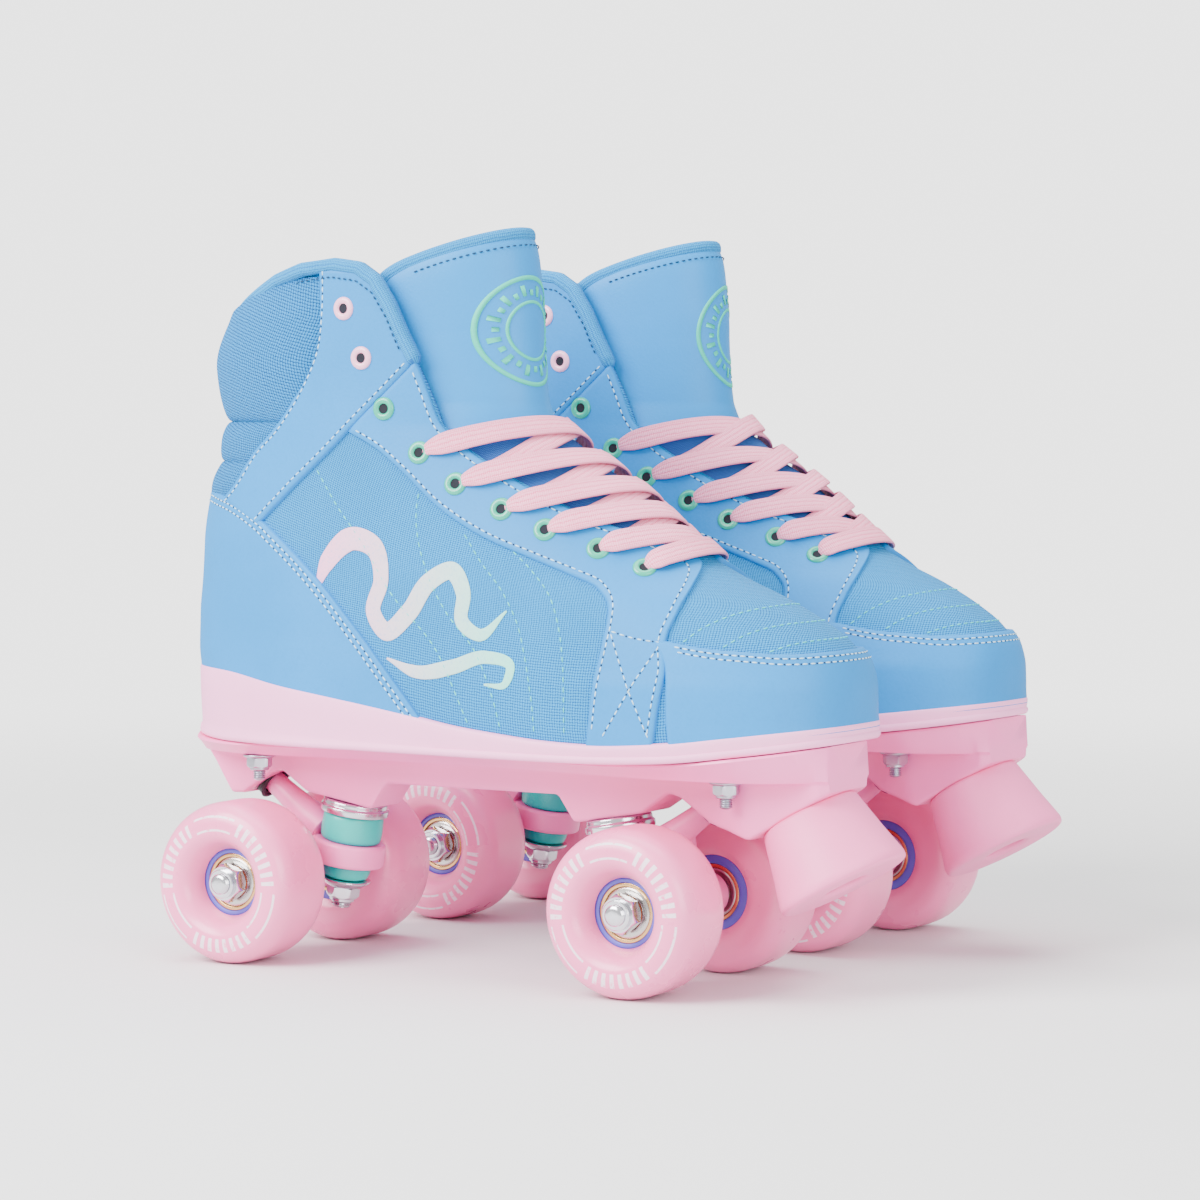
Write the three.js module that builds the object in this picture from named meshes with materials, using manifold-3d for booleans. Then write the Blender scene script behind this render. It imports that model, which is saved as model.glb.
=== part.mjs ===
// A pair of lace-up quad roller skates, in millimetres, +Z up, toes towards +X.
// Each skate is drawn once, as the right skate in its own frame: the origin is on the floor midway
// between the two axles, -Y is the outer side. The left skate is its mirror image.
import * as THREE from "three";
import { mergeVertices } from "three/addons/utils/BufferGeometryUtils.js";
import Module from "manifold-3d";

const wasm = await Module();
wasm.setup();

// ---------------------------------------------------------------- driving dimensions
const GAP = 0.3; // clearance between faces that touch on the real object

// the pair
const PAIR_SPACING = 140; // between the centre lines of the two skates
const TOE_IN = THREE.MathUtils.degToRad(1.4); // each skate turns this much towards the other

// wheels and bearings
const WHEEL_R = 31;
const WHEEL_W = 33;
const WHEEL_SIDES = 20;
const WHEELBASE = 173.5;
const TRACK = 74; // between the middle planes of the two wheels on one axle
const BEARING_W = 7;
const BEARING_GAP = 7; // spacer between the two bearings
const HUB_R = 15;
const HUB_SIDES = 16;
const NUT_RECESS = 10.5; // from the outer face of the tyre to the outer bearing

// axle
const AXLE_R = 4;
const RUNNING = 0.3; // radial clearance of what turns on a shaft
const NUT_FLATS_R = 7.4; // corner radius of the hex nuts
const NUT_H = 6.4;
const WASHER_R = 6;
const WASHER_H = 1;

// truck: the kingpin leans outwards, and the hanger turns on the line from its ring to its pivot pin
const KINGPIN_LEAN = THREE.MathUtils.degToRad(10);
const KINGPIN_IN = 27.95; // from the axle in to where the kingpin meets the boss's lower face
const KINGPIN_X = WHEELBASE / 2 - KINGPIN_IN;
const KINGPIN_Z = 60.5; // height of the boss's lower face at the kingpin
const KINGPIN_R = 4;
const KINGPIN_HEAD_R = 7;
const KINGPIN_HEAD_H = 5;
const CUP_R = 13.2; // upper cushion retainer
const CUP_H = 5;
const UPPER_CUSHION_R = 11.6;
const UPPER_CUSHION_H = 10.6;
const RING_R = 13.9;
const RING_H = 9;
const RING_BORE_R = 6.5;
const LOWER_CUSHION_R = 9.4;
const LOWER_CUSHION_H = 5.2;
const LOWER_WASHER_R = 9.2;
const LOWER_WASHER_H = 3.4;
const PIVOT_OUT = 10.85; // from the axle out to the centre of the pivot socket's mouth
const PIVOT_MOUTH_X = WHEELBASE / 2 + PIVOT_OUT;
const PIVOT_MOUTH_Z = 65.5;
const PIVOT_DEPTH = 10;
const PIVOT_PIN_R = 4.6;
const PIVOT_SOCKET_R = 7.2;
const HANGER_TUBE_R = 8;
const HANGER_HALF = TRACK / 2 - WHEEL_W / 2 - 1; // half length of the hanger's axle tube

// plate (chassis)
const FLANGE_LOW = 78.6; // lower face of the flange that the boot is bolted to
const BOLT_R = 2.5;
const BOLT_HEAD_R = 6.5;
const BOLT_HEAD_H = 2.4;
const BOLT_TAIL = 10.2; // how far the bolt stands below the flange
const BOLT_Y = 22;
const REAR_BOLT_X = -89;
const FRONT_BOLT_X = 116;

// toe stop
const STOP_TILT = THREE.MathUtils.degToRad(30);
const STOP_X = 138; // centre of the face that the toe stop is bolted to
const STOP_Z = 66;
const STOP_TOP_R = 18.5;
const STOP_END_R = 25;
const STOP_LENGTH = 30;
const STOP_BOLT_R = 4;
const STOP_BOLT_HEAD_R = 7;

// boot
const UPPER_WALL = 3.6;
const SOLE_LIP = 2.4; // how far the outsole stands out past the upper
const INSOLE_T = 4;
const TONGUE_T = 7;
const LACE_W = 8;
const LACE_T = 1.6;
const LACE_LAYER = 3; // from one crossing lace to the next
const LACE_CLEAR = 3.8; // between the lace and the leather, so that straight steps clear the curve

// ---------------------------------------------------------------- small helpers
const clampIndex = (table, x) => {
  let i = 1;
  while (i < table.length - 1 && x > table[i][0]) i++;
  return i;
};

// straight-line interpolation in a table of [place, value, value, ...]
function look(table, x, column = 1) {
  const i = clampIndex(table, x);
  const [a, b] = [table[i - 1], table[i]];
  const t = Math.min(1, Math.max(0, (x - a[0]) / (b[0] - a[0])));
  return a[column] + t * (b[column] - a[column]);
}

function geometryOf(positions, index) {
  const g = new THREE.BufferGeometry();
  g.setAttribute("position", new THREE.Float32BufferAttribute(positions, 3));
  g.setIndex(index);
  return g;
}

// a closed skin over loops of equal length, each loop [[x, y, z], ...], closed by a fan at both ends
function loft(loops) {
  const n = loops[0].length;
  const positions = loops.flat(2);
  const index = [];
  for (let k = 0; k + 1 < loops.length; k++)
    for (let i = 0; i < n; i++) {
      const j = (i + 1) % n;
      const [a, b, c, d] = [k * n + i, k * n + j, (k + 1) * n + j, (k + 1) * n + i];
      index.push(a, b, c, a, c, d);
    }
  const last = (loops.length - 1) * n;
  for (let i = 1; i + 1 < n; i++) {
    index.push(0, i + 1, i);
    index.push(last, last + i, last + i + 1);
  }
  return geometryOf(positions, index);
}

// a closed skin over loops that are thin: point i on one side faces point n - 1 - i on the other
function loftThin(loops) {
  const n = loops[0].length;
  const geometry = loft(loops);
  const index = Array.from(geometry.index.array).slice(0, (loops.length - 1) * n * 6);
  const last = (loops.length - 1) * n;
  for (let i = 0; i + 1 < n / 2; i++) {
    const [a, b, c, d] = [i, i + 1, n - 2 - i, n - 1 - i];
    index.push(a, c, b, a, d, c);
    index.push(last + a, last + b, last + c, last + a, last + c, last + d);
  }
  geometry.setIndex(index);
  return geometry;
}

// a three.js geometry as a solid, turned the right way out
function solid(geometry) {
  const g = geometry.index ? geometry.toNonIndexed() : geometry.clone();
  for (const name of Object.keys(g.attributes)) if (name !== "position") g.deleteAttribute(name);
  const merged = mergeVertices(g, 1e-4);
  const triVerts = new Uint32Array(merged.index.array);
  const vertProperties = merged.attributes.position.array;
  if (signedVolume(vertProperties, triVerts) < 0)
    for (let i = 0; i < triVerts.length; i += 3)
      [triVerts[i + 1], triVerts[i + 2]] = [triVerts[i + 2], triVerts[i + 1]];
  return new wasm.Manifold(new wasm.Mesh({ numProp: 3, vertProperties, triVerts }));
}

function signedVolume(p, t) {
  const [a, b, c] = [new THREE.Vector3(), new THREE.Vector3(), new THREE.Vector3()];
  let volume = 0;
  for (let i = 0; i < t.length; i += 3) {
    a.fromArray(p, 3 * t[i]);
    b.fromArray(p, 3 * t[i + 1]);
    c.fromArray(p, 3 * t[i + 2]);
    volume += a.dot(b.cross(c)) / 6;
  }
  return volume;
}

// a solid back as a three.js geometry
function geometryFrom(manifold) {
  const m = manifold.getMesh();
  const positions = [];
  for (let i = 0; i < m.numVert; i++)
    positions.push(...m.vertProperties.subarray(i * m.numProp, i * m.numProp + 3));
  return geometryOf(positions, Array.from(m.triVerts));
}

const union = (first, ...rest) => rest.reduce((a, b) => a.add(b), first);
const without = (first, ...rest) => rest.reduce((a, b) => a.subtract(b), first);

// a solid of revolution about +Y from a closed outline of [radius, y]
function turned(outline, sides, startAngle = 0) {
  const points = [...outline, outline[0]].map(([r, y]) => new THREE.Vector2(Math.max(r, 0), y));
  const g = new THREE.LatheGeometry(points, sides);
  g.rotateY(startAngle);
  return solid(g);
}

// a cylinder or cone about the line from a to b
function rod(a, b, radiusA, radiusB = radiusA, sides = 16) {
  const [from, to] = [new THREE.Vector3(...a), new THREE.Vector3(...b)];
  const along = to.clone().sub(from);
  const g = new THREE.CylinderGeometry(radiusB, radiusA, along.length(), sides);
  g.translate(0, along.length() / 2, 0);
  g.applyQuaternion(
    new THREE.Quaternion().setFromUnitVectors(new THREE.Vector3(0, 1, 0), along.normalize()),
  );
  g.translate(...a);
  return solid(g);
}

// a side-view outline of [x, z], extruded across the skate; taper widens it by that share per mm of height
function slab(outline, halfWidth, taper = 0, taperFrom = 0) {
  const shape = new THREE.Shape(outline.map(([x, z]) => new THREE.Vector2(x, z)));
  const g = new THREE.ExtrudeGeometry(shape, { depth: 2 * halfWidth, bevelEnabled: false });
  g.translate(0, 0, -halfWidth);
  g.rotateX(Math.PI / 2);
  const p = g.attributes.position;
  for (let i = 0; i < p.count; i++)
    p.setY(i, p.getY(i) * (1 + taper * (p.getZ(i) - taperFrom)));
  return solid(g);
}

// ---------------------------------------------------------------- the shape of the boot
// Level outlines of the upper: height, back, front, half width, how square, widening towards the toe
const BOOT = [
  [92, -123, 157, 44.5, 2.7, 6],
  [102, -123.3, 156, 44.5, 2.7, 6],
  [111, -123.8, 156, 44.5, 2.65, 6],
  [118.5, -125, 155, 44, 2.55, 5],
  [127, -125, 149, 43.2, 2.45, 4.4],
  [134, -125, 139.5, 42.5, 2.4, 3.6],
  [142.6, -124.7, 124, 41.6, 2.3, 3],
  [149.4, -124.5, 109, 40.6, 2.2, 2],
  [156, -124.2, 97, 39.6, 2.15, 1],
  [163, -123.9, 89, 38.8, 2.1, 0],
  [179, -122, 70, 37, 2, 0],
  [190, -118, 54, 35.8, 2, 0],
  [199, -114.5, 41, 35, 2, 0],
  [207, -114, 33, 34.5, 2, 0],
  [227, -115, 30.5, 34, 2, 0],
  [244, -107.5, 30, 34, 2, 0],
  [282, -100, 26, 34, 2, 0],
];
// The upper's top edge seen from the side: the collar, then the front edge that the eyelets follow
const TOP_EDGE = [
  [-140, 243], [-107, 245], [-94, 250.5], [-73, 259], [-59, 263.2], [-45, 265.5], [-34, 264],
  [-27, 259.5], [-21, 250], [-16, 239], [-11, 229], [-6, 219], [0, 206], [10, 197.5], [26, 188],
  [57, 173], [80, 164.5], [97, 157], [101, 159],
];
// Rim of the outsole seen from the side: x, lower face, upper face
const SOLE = [
  [-127, 88, 112.4], [-119, 84, 112], [-98, 83.6, 111], [-68, 83.6, 106.8], [-46, 83.8, 104.2],
  [-24, 84, 101.4], [-2, 84, 98.2], [14, 84, 95.6], [30, 84, 93.8], [57, 84, 91.6], [72, 84, 91.2],
  [99, 85, 92.6], [124, 87.8, 95.6], [160, 93, 99.8],
];
// Eyelets of one side seen from the side, from the collar down; the laces use those from LACED_FROM on
const EYELETS = [
  [-39, 248.5], [-31.7, 230], [-22, 211], [-8.5, 195], [6.5, 183.5], [27, 174.5], [46, 167],
  [65.5, 160], [87.6, 154],
];
const LACED_FROM = 3;
// How much higher than its eyelets a lace crosses the middle of the boot: eyelet height, rise
const LACE_RISE = [[150, 5], [160, 8], [175, 12], [200, 15]];
const TOE_BEND = 5; // how far the tip of the toe lies towards the inner side
const TOE_BEND_FROM = 10;
const TOE_TIP_X = 157;

const toeBend = (x) => TOE_BEND * (Math.max(0, x - TOE_BEND_FROM) / (TOE_TIP_X - TOE_BEND_FROM)) ** 2;

// A point of the boot's outline at a height: share runs from -1 at the heel to 1 at the toe,
// side is -1 for the outer side; inset moves the outline inwards
function outlinePoint(z, share, side, inset = 0, lift = 0) {
  const level = z + lift;
  const [back, front] = [look(BOOT, level, 1) + inset, look(BOOT, level, 2) - inset];
  const [half, square] = [look(BOOT, level, 3), look(BOOT, level, 4)];
  const width = half - inset + look(BOOT, level, 5) * share;
  const x = (front + back) / 2 + ((front - back) / 2) * share;
  const y = side * width * Math.max(0, 1 - Math.abs(share) ** square) ** (1 / square);
  return [x, y + toeBend(x), z];
}

// shares along the boot, closer together at both ends
const shares = (steps, from = -1, to = 1) => {
  const [a, b] = [Math.acos(-from), Math.acos(-to)];
  return Array.from({ length: steps + 1 }, (_, i) => -Math.cos(a + ((b - a) * i) / steps));
};

// a closed level loop of the boot
function bootLoop(z, steps, inset = 0, lift = 0) {
  const along = shares(steps);
  const outer = along.map((s) => outlinePoint(z, s, -1, inset, lift));
  const inner = along.slice(1, -1).reverse().map((s) => outlinePoint(z, s, 1, inset, lift));
  return [...outer, ...inner];
}

const BOOT_STEPS = 11;

function upper() {
  const floor = BOOT[0][0];
  const levels = BOOT.map((row) => row[0]).slice(1, -1);
  const top = BOOT.at(-1)[0];
  const outer = loft([floor, ...levels, top].map((z) => bootLoop(z, BOOT_STEPS)));
  const inside = loft(
    [floor - 6, ...levels.filter((_, i) => i % 3 === 0), top - UPPER_WALL].map((z) =>
      bootLoop(z, BOOT_STEPS, UPPER_WALL, UPPER_WALL),
    ),
  );
  const lid = loft([top - UPPER_WALL - GAP, top + 1].map((z) => bootLoop(z, BOOT_STEPS, UPPER_WALL)));
  const above = slab([...TOP_EDGE, [TOE_TIP_X, 190], [TOE_TIP_X, 330], [-140, 330]], 80);
  const below = slab(
    [[-160, 60], ...SOLE.map(([x, , high]) => [x, high + GAP]), [190, 104], [190, 60]],
    80,
  );
  return without(solid(outer), solid(inside), solid(lid), above, below);
}

// A slab between the outsole's lower and upper faces, over the boot's outline at the sole
function soleSlab(low, high, inset, steps = 22, from = -0.9985, to = 0.9985, lowInset = inset) {
  const level = 100;
  const loops = shares(steps, from, to).map((share) => {
    const rim = (side, extra) => outlinePoint(level, share, side, extra);
    const [a, b] = [rim(-1, inset), rim(1, inset)];
    const [c, d] = [rim(1, lowInset), rim(-1, lowInset)];
    return [
      [a[0], a[1], high(a[0])],
      [b[0], b[1], high(b[0])],
      [c[0], c[1], low(c[0])],
      [d[0], d[1], low(d[0])],
    ];
  });
  return solid(loft(loops));
}

const soleLow = (x) => look(SOLE, x, 1);
const soleHigh = (x) => look(SOLE, x, 2);

const boltPlaces = [
  ["front_outer", FRONT_BOLT_X, -BOLT_Y],
  ["front_inner", FRONT_BOLT_X, BOLT_Y],
  ["rear_outer", REAR_BOLT_X, -BOLT_Y],
  ["rear_inner", REAR_BOLT_X, BOLT_Y],
];

function outsole() {
  const body = soleSlab(soleLow, soleHigh, -SOLE_LIP, 18, -0.9985, 0.9985, -SOLE_LIP + 1.6);
  const holes = boltPlaces.flatMap(([, x, y]) => [
    rod([x, y, soleLow(x) - 2], [x, y, soleHigh(x) + 2], BOLT_R + GAP, BOLT_R + GAP, 8),
    rod(
      [x, y, soleHigh(x) - BOLT_HEAD_H - 2 * GAP],
      [x, y, soleHigh(x) + 9],
      BOLT_HEAD_R + GAP,
      BOLT_HEAD_R + GAP,
      10,
    ),
  ]);
  return without(body, ...holes);
}

function insole() {
  const low = (x) => soleHigh(x) + 2 * GAP;
  const high = (x) => soleHigh(x) + 2 * GAP + INSOLE_T;
  return soleSlab(low, high, UPPER_WALL + 2.4, 16, -0.985, 0.985);
}

// A bolt through the outsole and the flange, with its washer and nut under the flange
function mountingBolt(x, y) {
  const head = soleHigh(x) - BOLT_HEAD_H - GAP;
  const under = FLANGE_LOW - GAP;
  return union(
    rod([x, y, under - BOLT_TAIL], [x, y, head + 1], BOLT_R, BOLT_R, 6),
    rod([x, y, head], [x, y, head + BOLT_HEAD_H - GAP], BOLT_HEAD_R, BOLT_HEAD_R - 1, 10),
    rod([x, y, under - 1.2], [x, y, under], 6, 6, 10),
    rod([x, y, under - 5.8], [x, y, under - 1.1], 4.6, 4.6, 6),
  );
}

// ---------------------------------------------------------------- tongue and lace
const TONGUE_TOP = 267;
const TONGUE_CROWN = 11; // how much higher the middle of the tongue's top edge is
const TONGUE_LEVELS = [155, 167, 178, 190, 205, 240, 258, TONGUE_TOP];
const TONGUE_SHARE = 0.12; // how far back the tongue reaches, as a share of the outline
const TONGUE_INSET = UPPER_WALL + 0.7;

function tongue() {
  const steps = 5;
  const loops = TONGUE_LEVELS.map((z) => {
    const reach = z < 165 ? 0.62 : TONGUE_SHARE + (0.5 * Math.max(0, 190 - z)) / 25;
    const along = shares(steps, Math.min(0.62, reach), 1);
    const arc = (inset) => {
      const point = (share, side) => {
        const crown = TONGUE_CROWN * Math.max(0, (z - 258) / 9) * Math.max(0, share) ** 2;
        const p = outlinePoint(z, share, side, inset, TONGUE_INSET);
        return [p[0], p[1], z + crown];
      };
      return [
        ...along.map((s) => point(s, -1)),
        ...along.slice(0, -1).reverse().map((s) => point(s, 1)),
      ];
    };
    return [...arc(TONGUE_INSET), ...arc(TONGUE_INSET + TONGUE_T).reverse()];
  });
  return solid(loftThin(loops));
}

// The way from the boot's middle line out through one of its points
function outwardsAt(p) {
  return p.clone().sub(new THREE.Vector3(look(BOOT, p.z, 1) * 0.45, 0, p.z - 45)).normalize();
}

// A flat band over the boot from one eyelet to another, a number of layers above the leather;
// sides are -1 outer and 1 inner
function band(from, to, fromSide, toSide, layer) {
  const steps = 5;
  const lift = laceLift(layer);
  // the signed angle round the front of the boot: 0 at the ridge
  const start = fromSide * Math.acos(shareOf(from));
  const end = toSide * Math.acos(shareOf(to));
  const centre = (t) => {
    const angle = start + (end - start) * t;
    const eyeletZ = from[1] + (to[1] - from[1]) * t;
    const z = eyeletZ + look(LACE_RISE, eyeletZ) * Math.sin(Math.PI * t);
    const p = new THREE.Vector3(...outlinePoint(z, Math.cos(angle), Math.sign(angle) || 1));
    return p.addScaledVector(outwardsAt(p), lift);
  };
  const loops = [];
  for (let i = 0; i <= steps; i++) {
    const t = i / steps;
    const step = 0.02;
    const p = centre(t);
    const along = centre(Math.min(1, t + step)).sub(centre(Math.max(0, t - step))).normalize();
    const out = outwardsAt(p);
    out.addScaledVector(along, -out.dot(along)).normalize();
    const across = new THREE.Vector3().crossVectors(along, out);
    loops.push(
      [[1, 1], [-1, 1], [-1, -1], [1, -1]].map(([w, h]) =>
        p
          .clone()
          .addScaledVector(across, (w * LACE_W) / 2)
          .addScaledVector(out, (h * LACE_T) / 2)
          .toArray(),
      ),
    );
  }
  return solid(loft(loops));
}

const laceLift = (layer) => LACE_CLEAR + LACE_T / 2 + layer * LACE_LAYER;

const shareOf = ([x, z]) => {
  const [back, front] = [look(BOOT, z, 1), look(BOOT, z, 2)];
  return Math.min(1, (2 * (x - back)) / (front - back) - 1);
};

// The short piece of lace that dives through an eyelet, from the top band down
function laceDive([x, z], side, layers) {
  const p = new THREE.Vector3(...outlinePoint(z, shareOf([x, z]), side));
  const out = outwardsAt(p);
  const from = p.clone().addScaledVector(out, laceLift(0) - LACE_T / 2 - GAP);
  const to = p.clone().addScaledVector(out, laceLift(layers) + LACE_T / 2 + GAP);
  return rod(from.toArray(), to.toArray(), LACE_W / 3.4, LACE_W / 3.4, 4);
}

// Criss-cross bands between the laced eyelets of both sides, with a straight bar at the toe end
function lace() {
  const rows = EYELETS.slice(LACED_FROM);
  const toeRow = rows.at(-1);
  const pieces = [band(toeRow, toeRow, -1, 1, 2)];
  for (let i = 1; i < rows.length; i++) {
    pieces.push(band(rows[i], rows[i - 1], -1, 1, 0));
    pieces.push(band(rows[i], rows[i - 1], 1, -1, 1));
  }
  for (const row of rows)
    for (const side of [-1, 1]) pieces.push(laceDive(row, side, row === toeRow ? 2 : 1));
  return union(...pieces);
}

// ---------------------------------------------------------------- plate
const FLANGE = [
  // x, half width at the top, half width at the bottom
  [-124, 14, 10], [-120, 22, 16], [-110, 28, 23], [-90, 32, 28], [-50, 29, 25], [0, 30, 24],
  [57, 36, 30], [72, 38, 32], [99, 40, 34], [124, 39, 32], [136, 33, 27], [150, 22, 18], [153, 14, 12],
];
const kingpinDown = [Math.sin(KINGPIN_LEAN), 0, -Math.cos(KINGPIN_LEAN)];
const kingpinPoint = (s, end) => [
  end * (KINGPIN_X + kingpinDown[0] * s), 0, KINGPIN_Z + kingpinDown[2] * s,
];

// the stack under the kingpin boss, as distances along the kingpin
const CUP_AT = GAP;
const CUSHION_AT = CUP_AT + CUP_H + GAP;
const RING_AT = CUSHION_AT + UPPER_CUSHION_H + GAP;
const LOWER_CUSHION_AT = RING_AT + RING_H + GAP;
const LOWER_WASHER_AT = LOWER_CUSHION_AT + LOWER_CUSHION_H + GAP;
const KINGPIN_NUT_AT = LOWER_WASHER_AT + LOWER_WASHER_H;
const KINGPIN_END = KINGPIN_NUT_AT + NUT_H + 2;
const KINGPIN_TOP = -15; // seat of the kingpin's head, above the boss's lower face

const RING_CENTRE = kingpinPoint(RING_AT + RING_H / 2, 1);
const PIVOT_DIRECTION = new THREE.Vector3(
  PIVOT_MOUTH_X - RING_CENTRE[0], 0, PIVOT_MOUTH_Z - RING_CENTRE[2],
).normalize();
const steerPoint = (s, end) => [
  end * (RING_CENTRE[0] + PIVOT_DIRECTION.x * s), 0, RING_CENTRE[2] + PIVOT_DIRECTION.z * s,
];
const MOUTH_AT = Math.hypot(PIVOT_MOUTH_X - RING_CENTRE[0], PIVOT_MOUTH_Z - RING_CENTRE[2]);

// lower face of the kingpin boss, square to the kingpin
const bossZ = (x) => KINGPIN_Z + (x - KINGPIN_X) * Math.tan(KINGPIN_LEAN);
const BOSS_IN = KINGPIN_X - 13.5;
const BOSS_OUT = KINGPIN_X + 16;
const BOSS_SLOPE = 7; // length of the slope from the beam down to the boss
const BEAM_LOW = 67.8;
const PLATE_HALF = 11;
const PLATE_TAPER = 0.02;

function plate() {
  const flange = solid(
    loft(
      FLANGE.map(([x, wide, narrow]) => [
        [x, -wide, soleLow(x) - GAP],
        [x, wide, soleLow(x) - GAP],
        [x, narrow, FLANGE_LOW],
        [x, -narrow, FLANGE_LOW],
      ]),
    ),
  );
  const stop = (r) => [STOP_X + r * Math.cos(STOP_TILT), STOP_Z + r * Math.sin(STOP_TILT)];
  const [stopIn, stopOut] = [stop(-STOP_TOP_R), stop(STOP_TOP_R)];
  const crown = FLANGE_LOW + 3;
  const half = [
    [BOSS_IN - BOSS_SLOPE, BEAM_LOW],
    [BOSS_IN, bossZ(BOSS_IN)],
    [BOSS_OUT, bossZ(BOSS_OUT)],
    [PIVOT_MOUTH_X - 11, 71],
    [PIVOT_MOUTH_X - 6.5, 70],
    [PIVOT_MOUTH_X + 6.5, 61.4],
  ];
  const rear = [...half, [PIVOT_MOUTH_X + 13, 62], [121, crown]].map(([x, z]) => [-x, z]);
  const front = [...half, stopIn, stopOut, [stopOut[0], crown + 1]];
  const beam = slab([...rear.reverse(), ...front], PLATE_HALF, PLATE_TAPER, KINGPIN_Z);
  const nose = slab(
    [[PIVOT_MOUTH_X + 10, crown], stopIn, stopOut, [stopOut[0] - 1, soleLow(stopOut[0]) - 2 * GAP],
      [FRONT_BOLT_X, crown]],
    STOP_TOP_R - 1,
  );
  const cuts = [
    ...boltPlaces.map(([, x, y]) =>
      rod([x, y, FLANGE_LOW - 14], [x, y, soleLow(x) + 2], BOLT_R + GAP, BOLT_R + GAP, 8)),
    ...boltPlaces.map(([, x, y]) => rod([x, y, FLANGE_LOW - 14], [x, y, FLANGE_LOW], 7.4, 7.4, 10)),
    ...[-1, 1].flatMap((end) => [
      rod(kingpinPoint(2, end), kingpinPoint(-30, end), KINGPIN_R + GAP, KINGPIN_R + GAP, 12),
      rod(kingpinPoint(KINGPIN_TOP, end), kingpinPoint(-40, end), KINGPIN_HEAD_R + GAP * 2,
        KINGPIN_HEAD_R + GAP * 2, 12),
      rod(steerPoint(MOUTH_AT - 9, end), steerPoint(MOUTH_AT + PIVOT_DEPTH, end), PIVOT_SOCKET_R,
        PIVOT_SOCKET_R, 14),
    ]),
    rod([STOP_X + 1, 0, STOP_Z - Math.sqrt(3)], stopAxis(-12), STOP_BOLT_R + GAP, STOP_BOLT_R + GAP, 12),
  ];
  return without(union(flange, beam, nose), ...cuts);
}

// ---------------------------------------------------------------- toe stop
// A point on the toe stop's axis, s below the face it is bolted to
function stopAxis(s) {
  return [STOP_X + Math.sin(STOP_TILT) * s, 0, STOP_Z - Math.cos(STOP_TILT) * s];
}

const STOP_RECESS = 11;

function toeStop() {
  return without(
    rod(stopAxis(GAP), stopAxis(STOP_LENGTH), STOP_TOP_R, STOP_END_R, 22),
    rod(stopAxis(-1), stopAxis(STOP_LENGTH + 1), STOP_BOLT_R + GAP, STOP_BOLT_R + GAP, 8),
    rod(stopAxis(STOP_LENGTH - STOP_RECESS), stopAxis(STOP_LENGTH + 1), STOP_BOLT_HEAD_R + 1,
      STOP_BOLT_HEAD_R + 1, 12),
  );
}

function toeStopBolt() {
  const seat = STOP_LENGTH - STOP_RECESS + GAP;
  return union(
    rod(stopAxis(-11), stopAxis(seat + 1), STOP_BOLT_R, STOP_BOLT_R, 8),
    rod(stopAxis(seat), stopAxis(seat + 5), STOP_BOLT_HEAD_R, STOP_BOLT_HEAD_R, 6),
  );
}

// ---------------------------------------------------------------- trucks; end is 1 front, -1 rear
const AXLE_X = WHEELBASE / 2;
const AXLE_Z = WHEEL_R;

function kingpin(end) {
  const at = (s) => kingpinPoint(s, end);
  return union(
    rod(at(KINGPIN_TOP - GAP - KINGPIN_HEAD_H), at(KINGPIN_TOP - GAP), KINGPIN_HEAD_R, KINGPIN_HEAD_R, 6),
    rod(at(KINGPIN_TOP - 1), at(KINGPIN_END), KINGPIN_R, KINGPIN_R, 8),
    rod(at(CUP_AT), at(CUP_AT + CUP_H), CUP_R - 1.4, CUP_R, 16),
    rod(at(LOWER_WASHER_AT), at(LOWER_WASHER_AT + LOWER_WASHER_H), LOWER_WASHER_R, 7, 12),
    rod(at(KINGPIN_NUT_AT - 0.2), at(KINGPIN_NUT_AT + NUT_H), NUT_FLATS_R - 0.6, NUT_FLATS_R - 0.6, 6),
  );
}

function cushion(end, from, height, topR, lowR) {
  const at = (s) => kingpinPoint(s, end);
  const waist = KINGPIN_R + RUNNING;
  return without(
    rod(at(from), at(from + height), topR, lowR, 16),
    rod(at(from - 1), at(from + height + 1), waist, waist, 8),
  );
}

function hanger(end) {
  const at = (s) => kingpinPoint(s, end);
  const tube = rod([end * AXLE_X, -HANGER_HALF, AXLE_Z], [end * AXLE_X, HANGER_HALF, AXLE_Z],
    HANGER_TUBE_R, HANGER_TUBE_R, 12);
  const ring = rod(at(RING_AT), at(RING_AT + RING_H), RING_R, RING_R, 16);
  const arm = rod(steerPoint(11, end), steerPoint(MOUTH_AT - 1, end), 6.6, PIVOT_PIN_R, 10);
  const pin = rod(steerPoint(MOUTH_AT - 2, end), steerPoint(MOUTH_AT + PIVOT_DEPTH - 1.5, end),
    PIVOT_PIN_R, PIVOT_PIN_R - 0.6, 10);
  const ringX = RING_CENTRE[0];
  const gusset = slab(
    [[ringX + 8, RING_CENTRE[2] + 3], [ringX + 24, RING_CENTRE[2] + 16],
      [AXLE_X + 5, AXLE_Z + 5], [AXLE_X, AXLE_Z - 6], [ringX + 8, RING_CENTRE[2] - 5]]
      .map(([x, z]) => [end * x, z]),
    6,
  );
  const web = slab(
    [[ringX + 5, RING_CENTRE[2] + 2.6], [AXLE_X, AXLE_Z + 6], [AXLE_X, AXLE_Z - 6],
      [ringX + 5, RING_CENTRE[2] - 4.2]].map(([x, z]) => [end * x, z]),
    11,
  );
  return without(
    union(tube, ring, arm, pin, gusset, web),
    rod(at(RING_AT - 9), at(RING_AT), RING_R + 0.5, RING_R + 0.5, 16),
    rod(at(RING_AT + RING_H), at(RING_AT + RING_H + 9), RING_R + 0.5, RING_R + 0.5, 16),
    rod(at(RING_AT - 3), at(RING_AT + RING_H + 3), RING_BORE_R, RING_BORE_R, 12),
    rod([end * AXLE_X, -50, AXLE_Z], [end * AXLE_X, 50, AXLE_Z], AXLE_R + GAP, AXLE_R + GAP, 8),
  );
}

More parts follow.
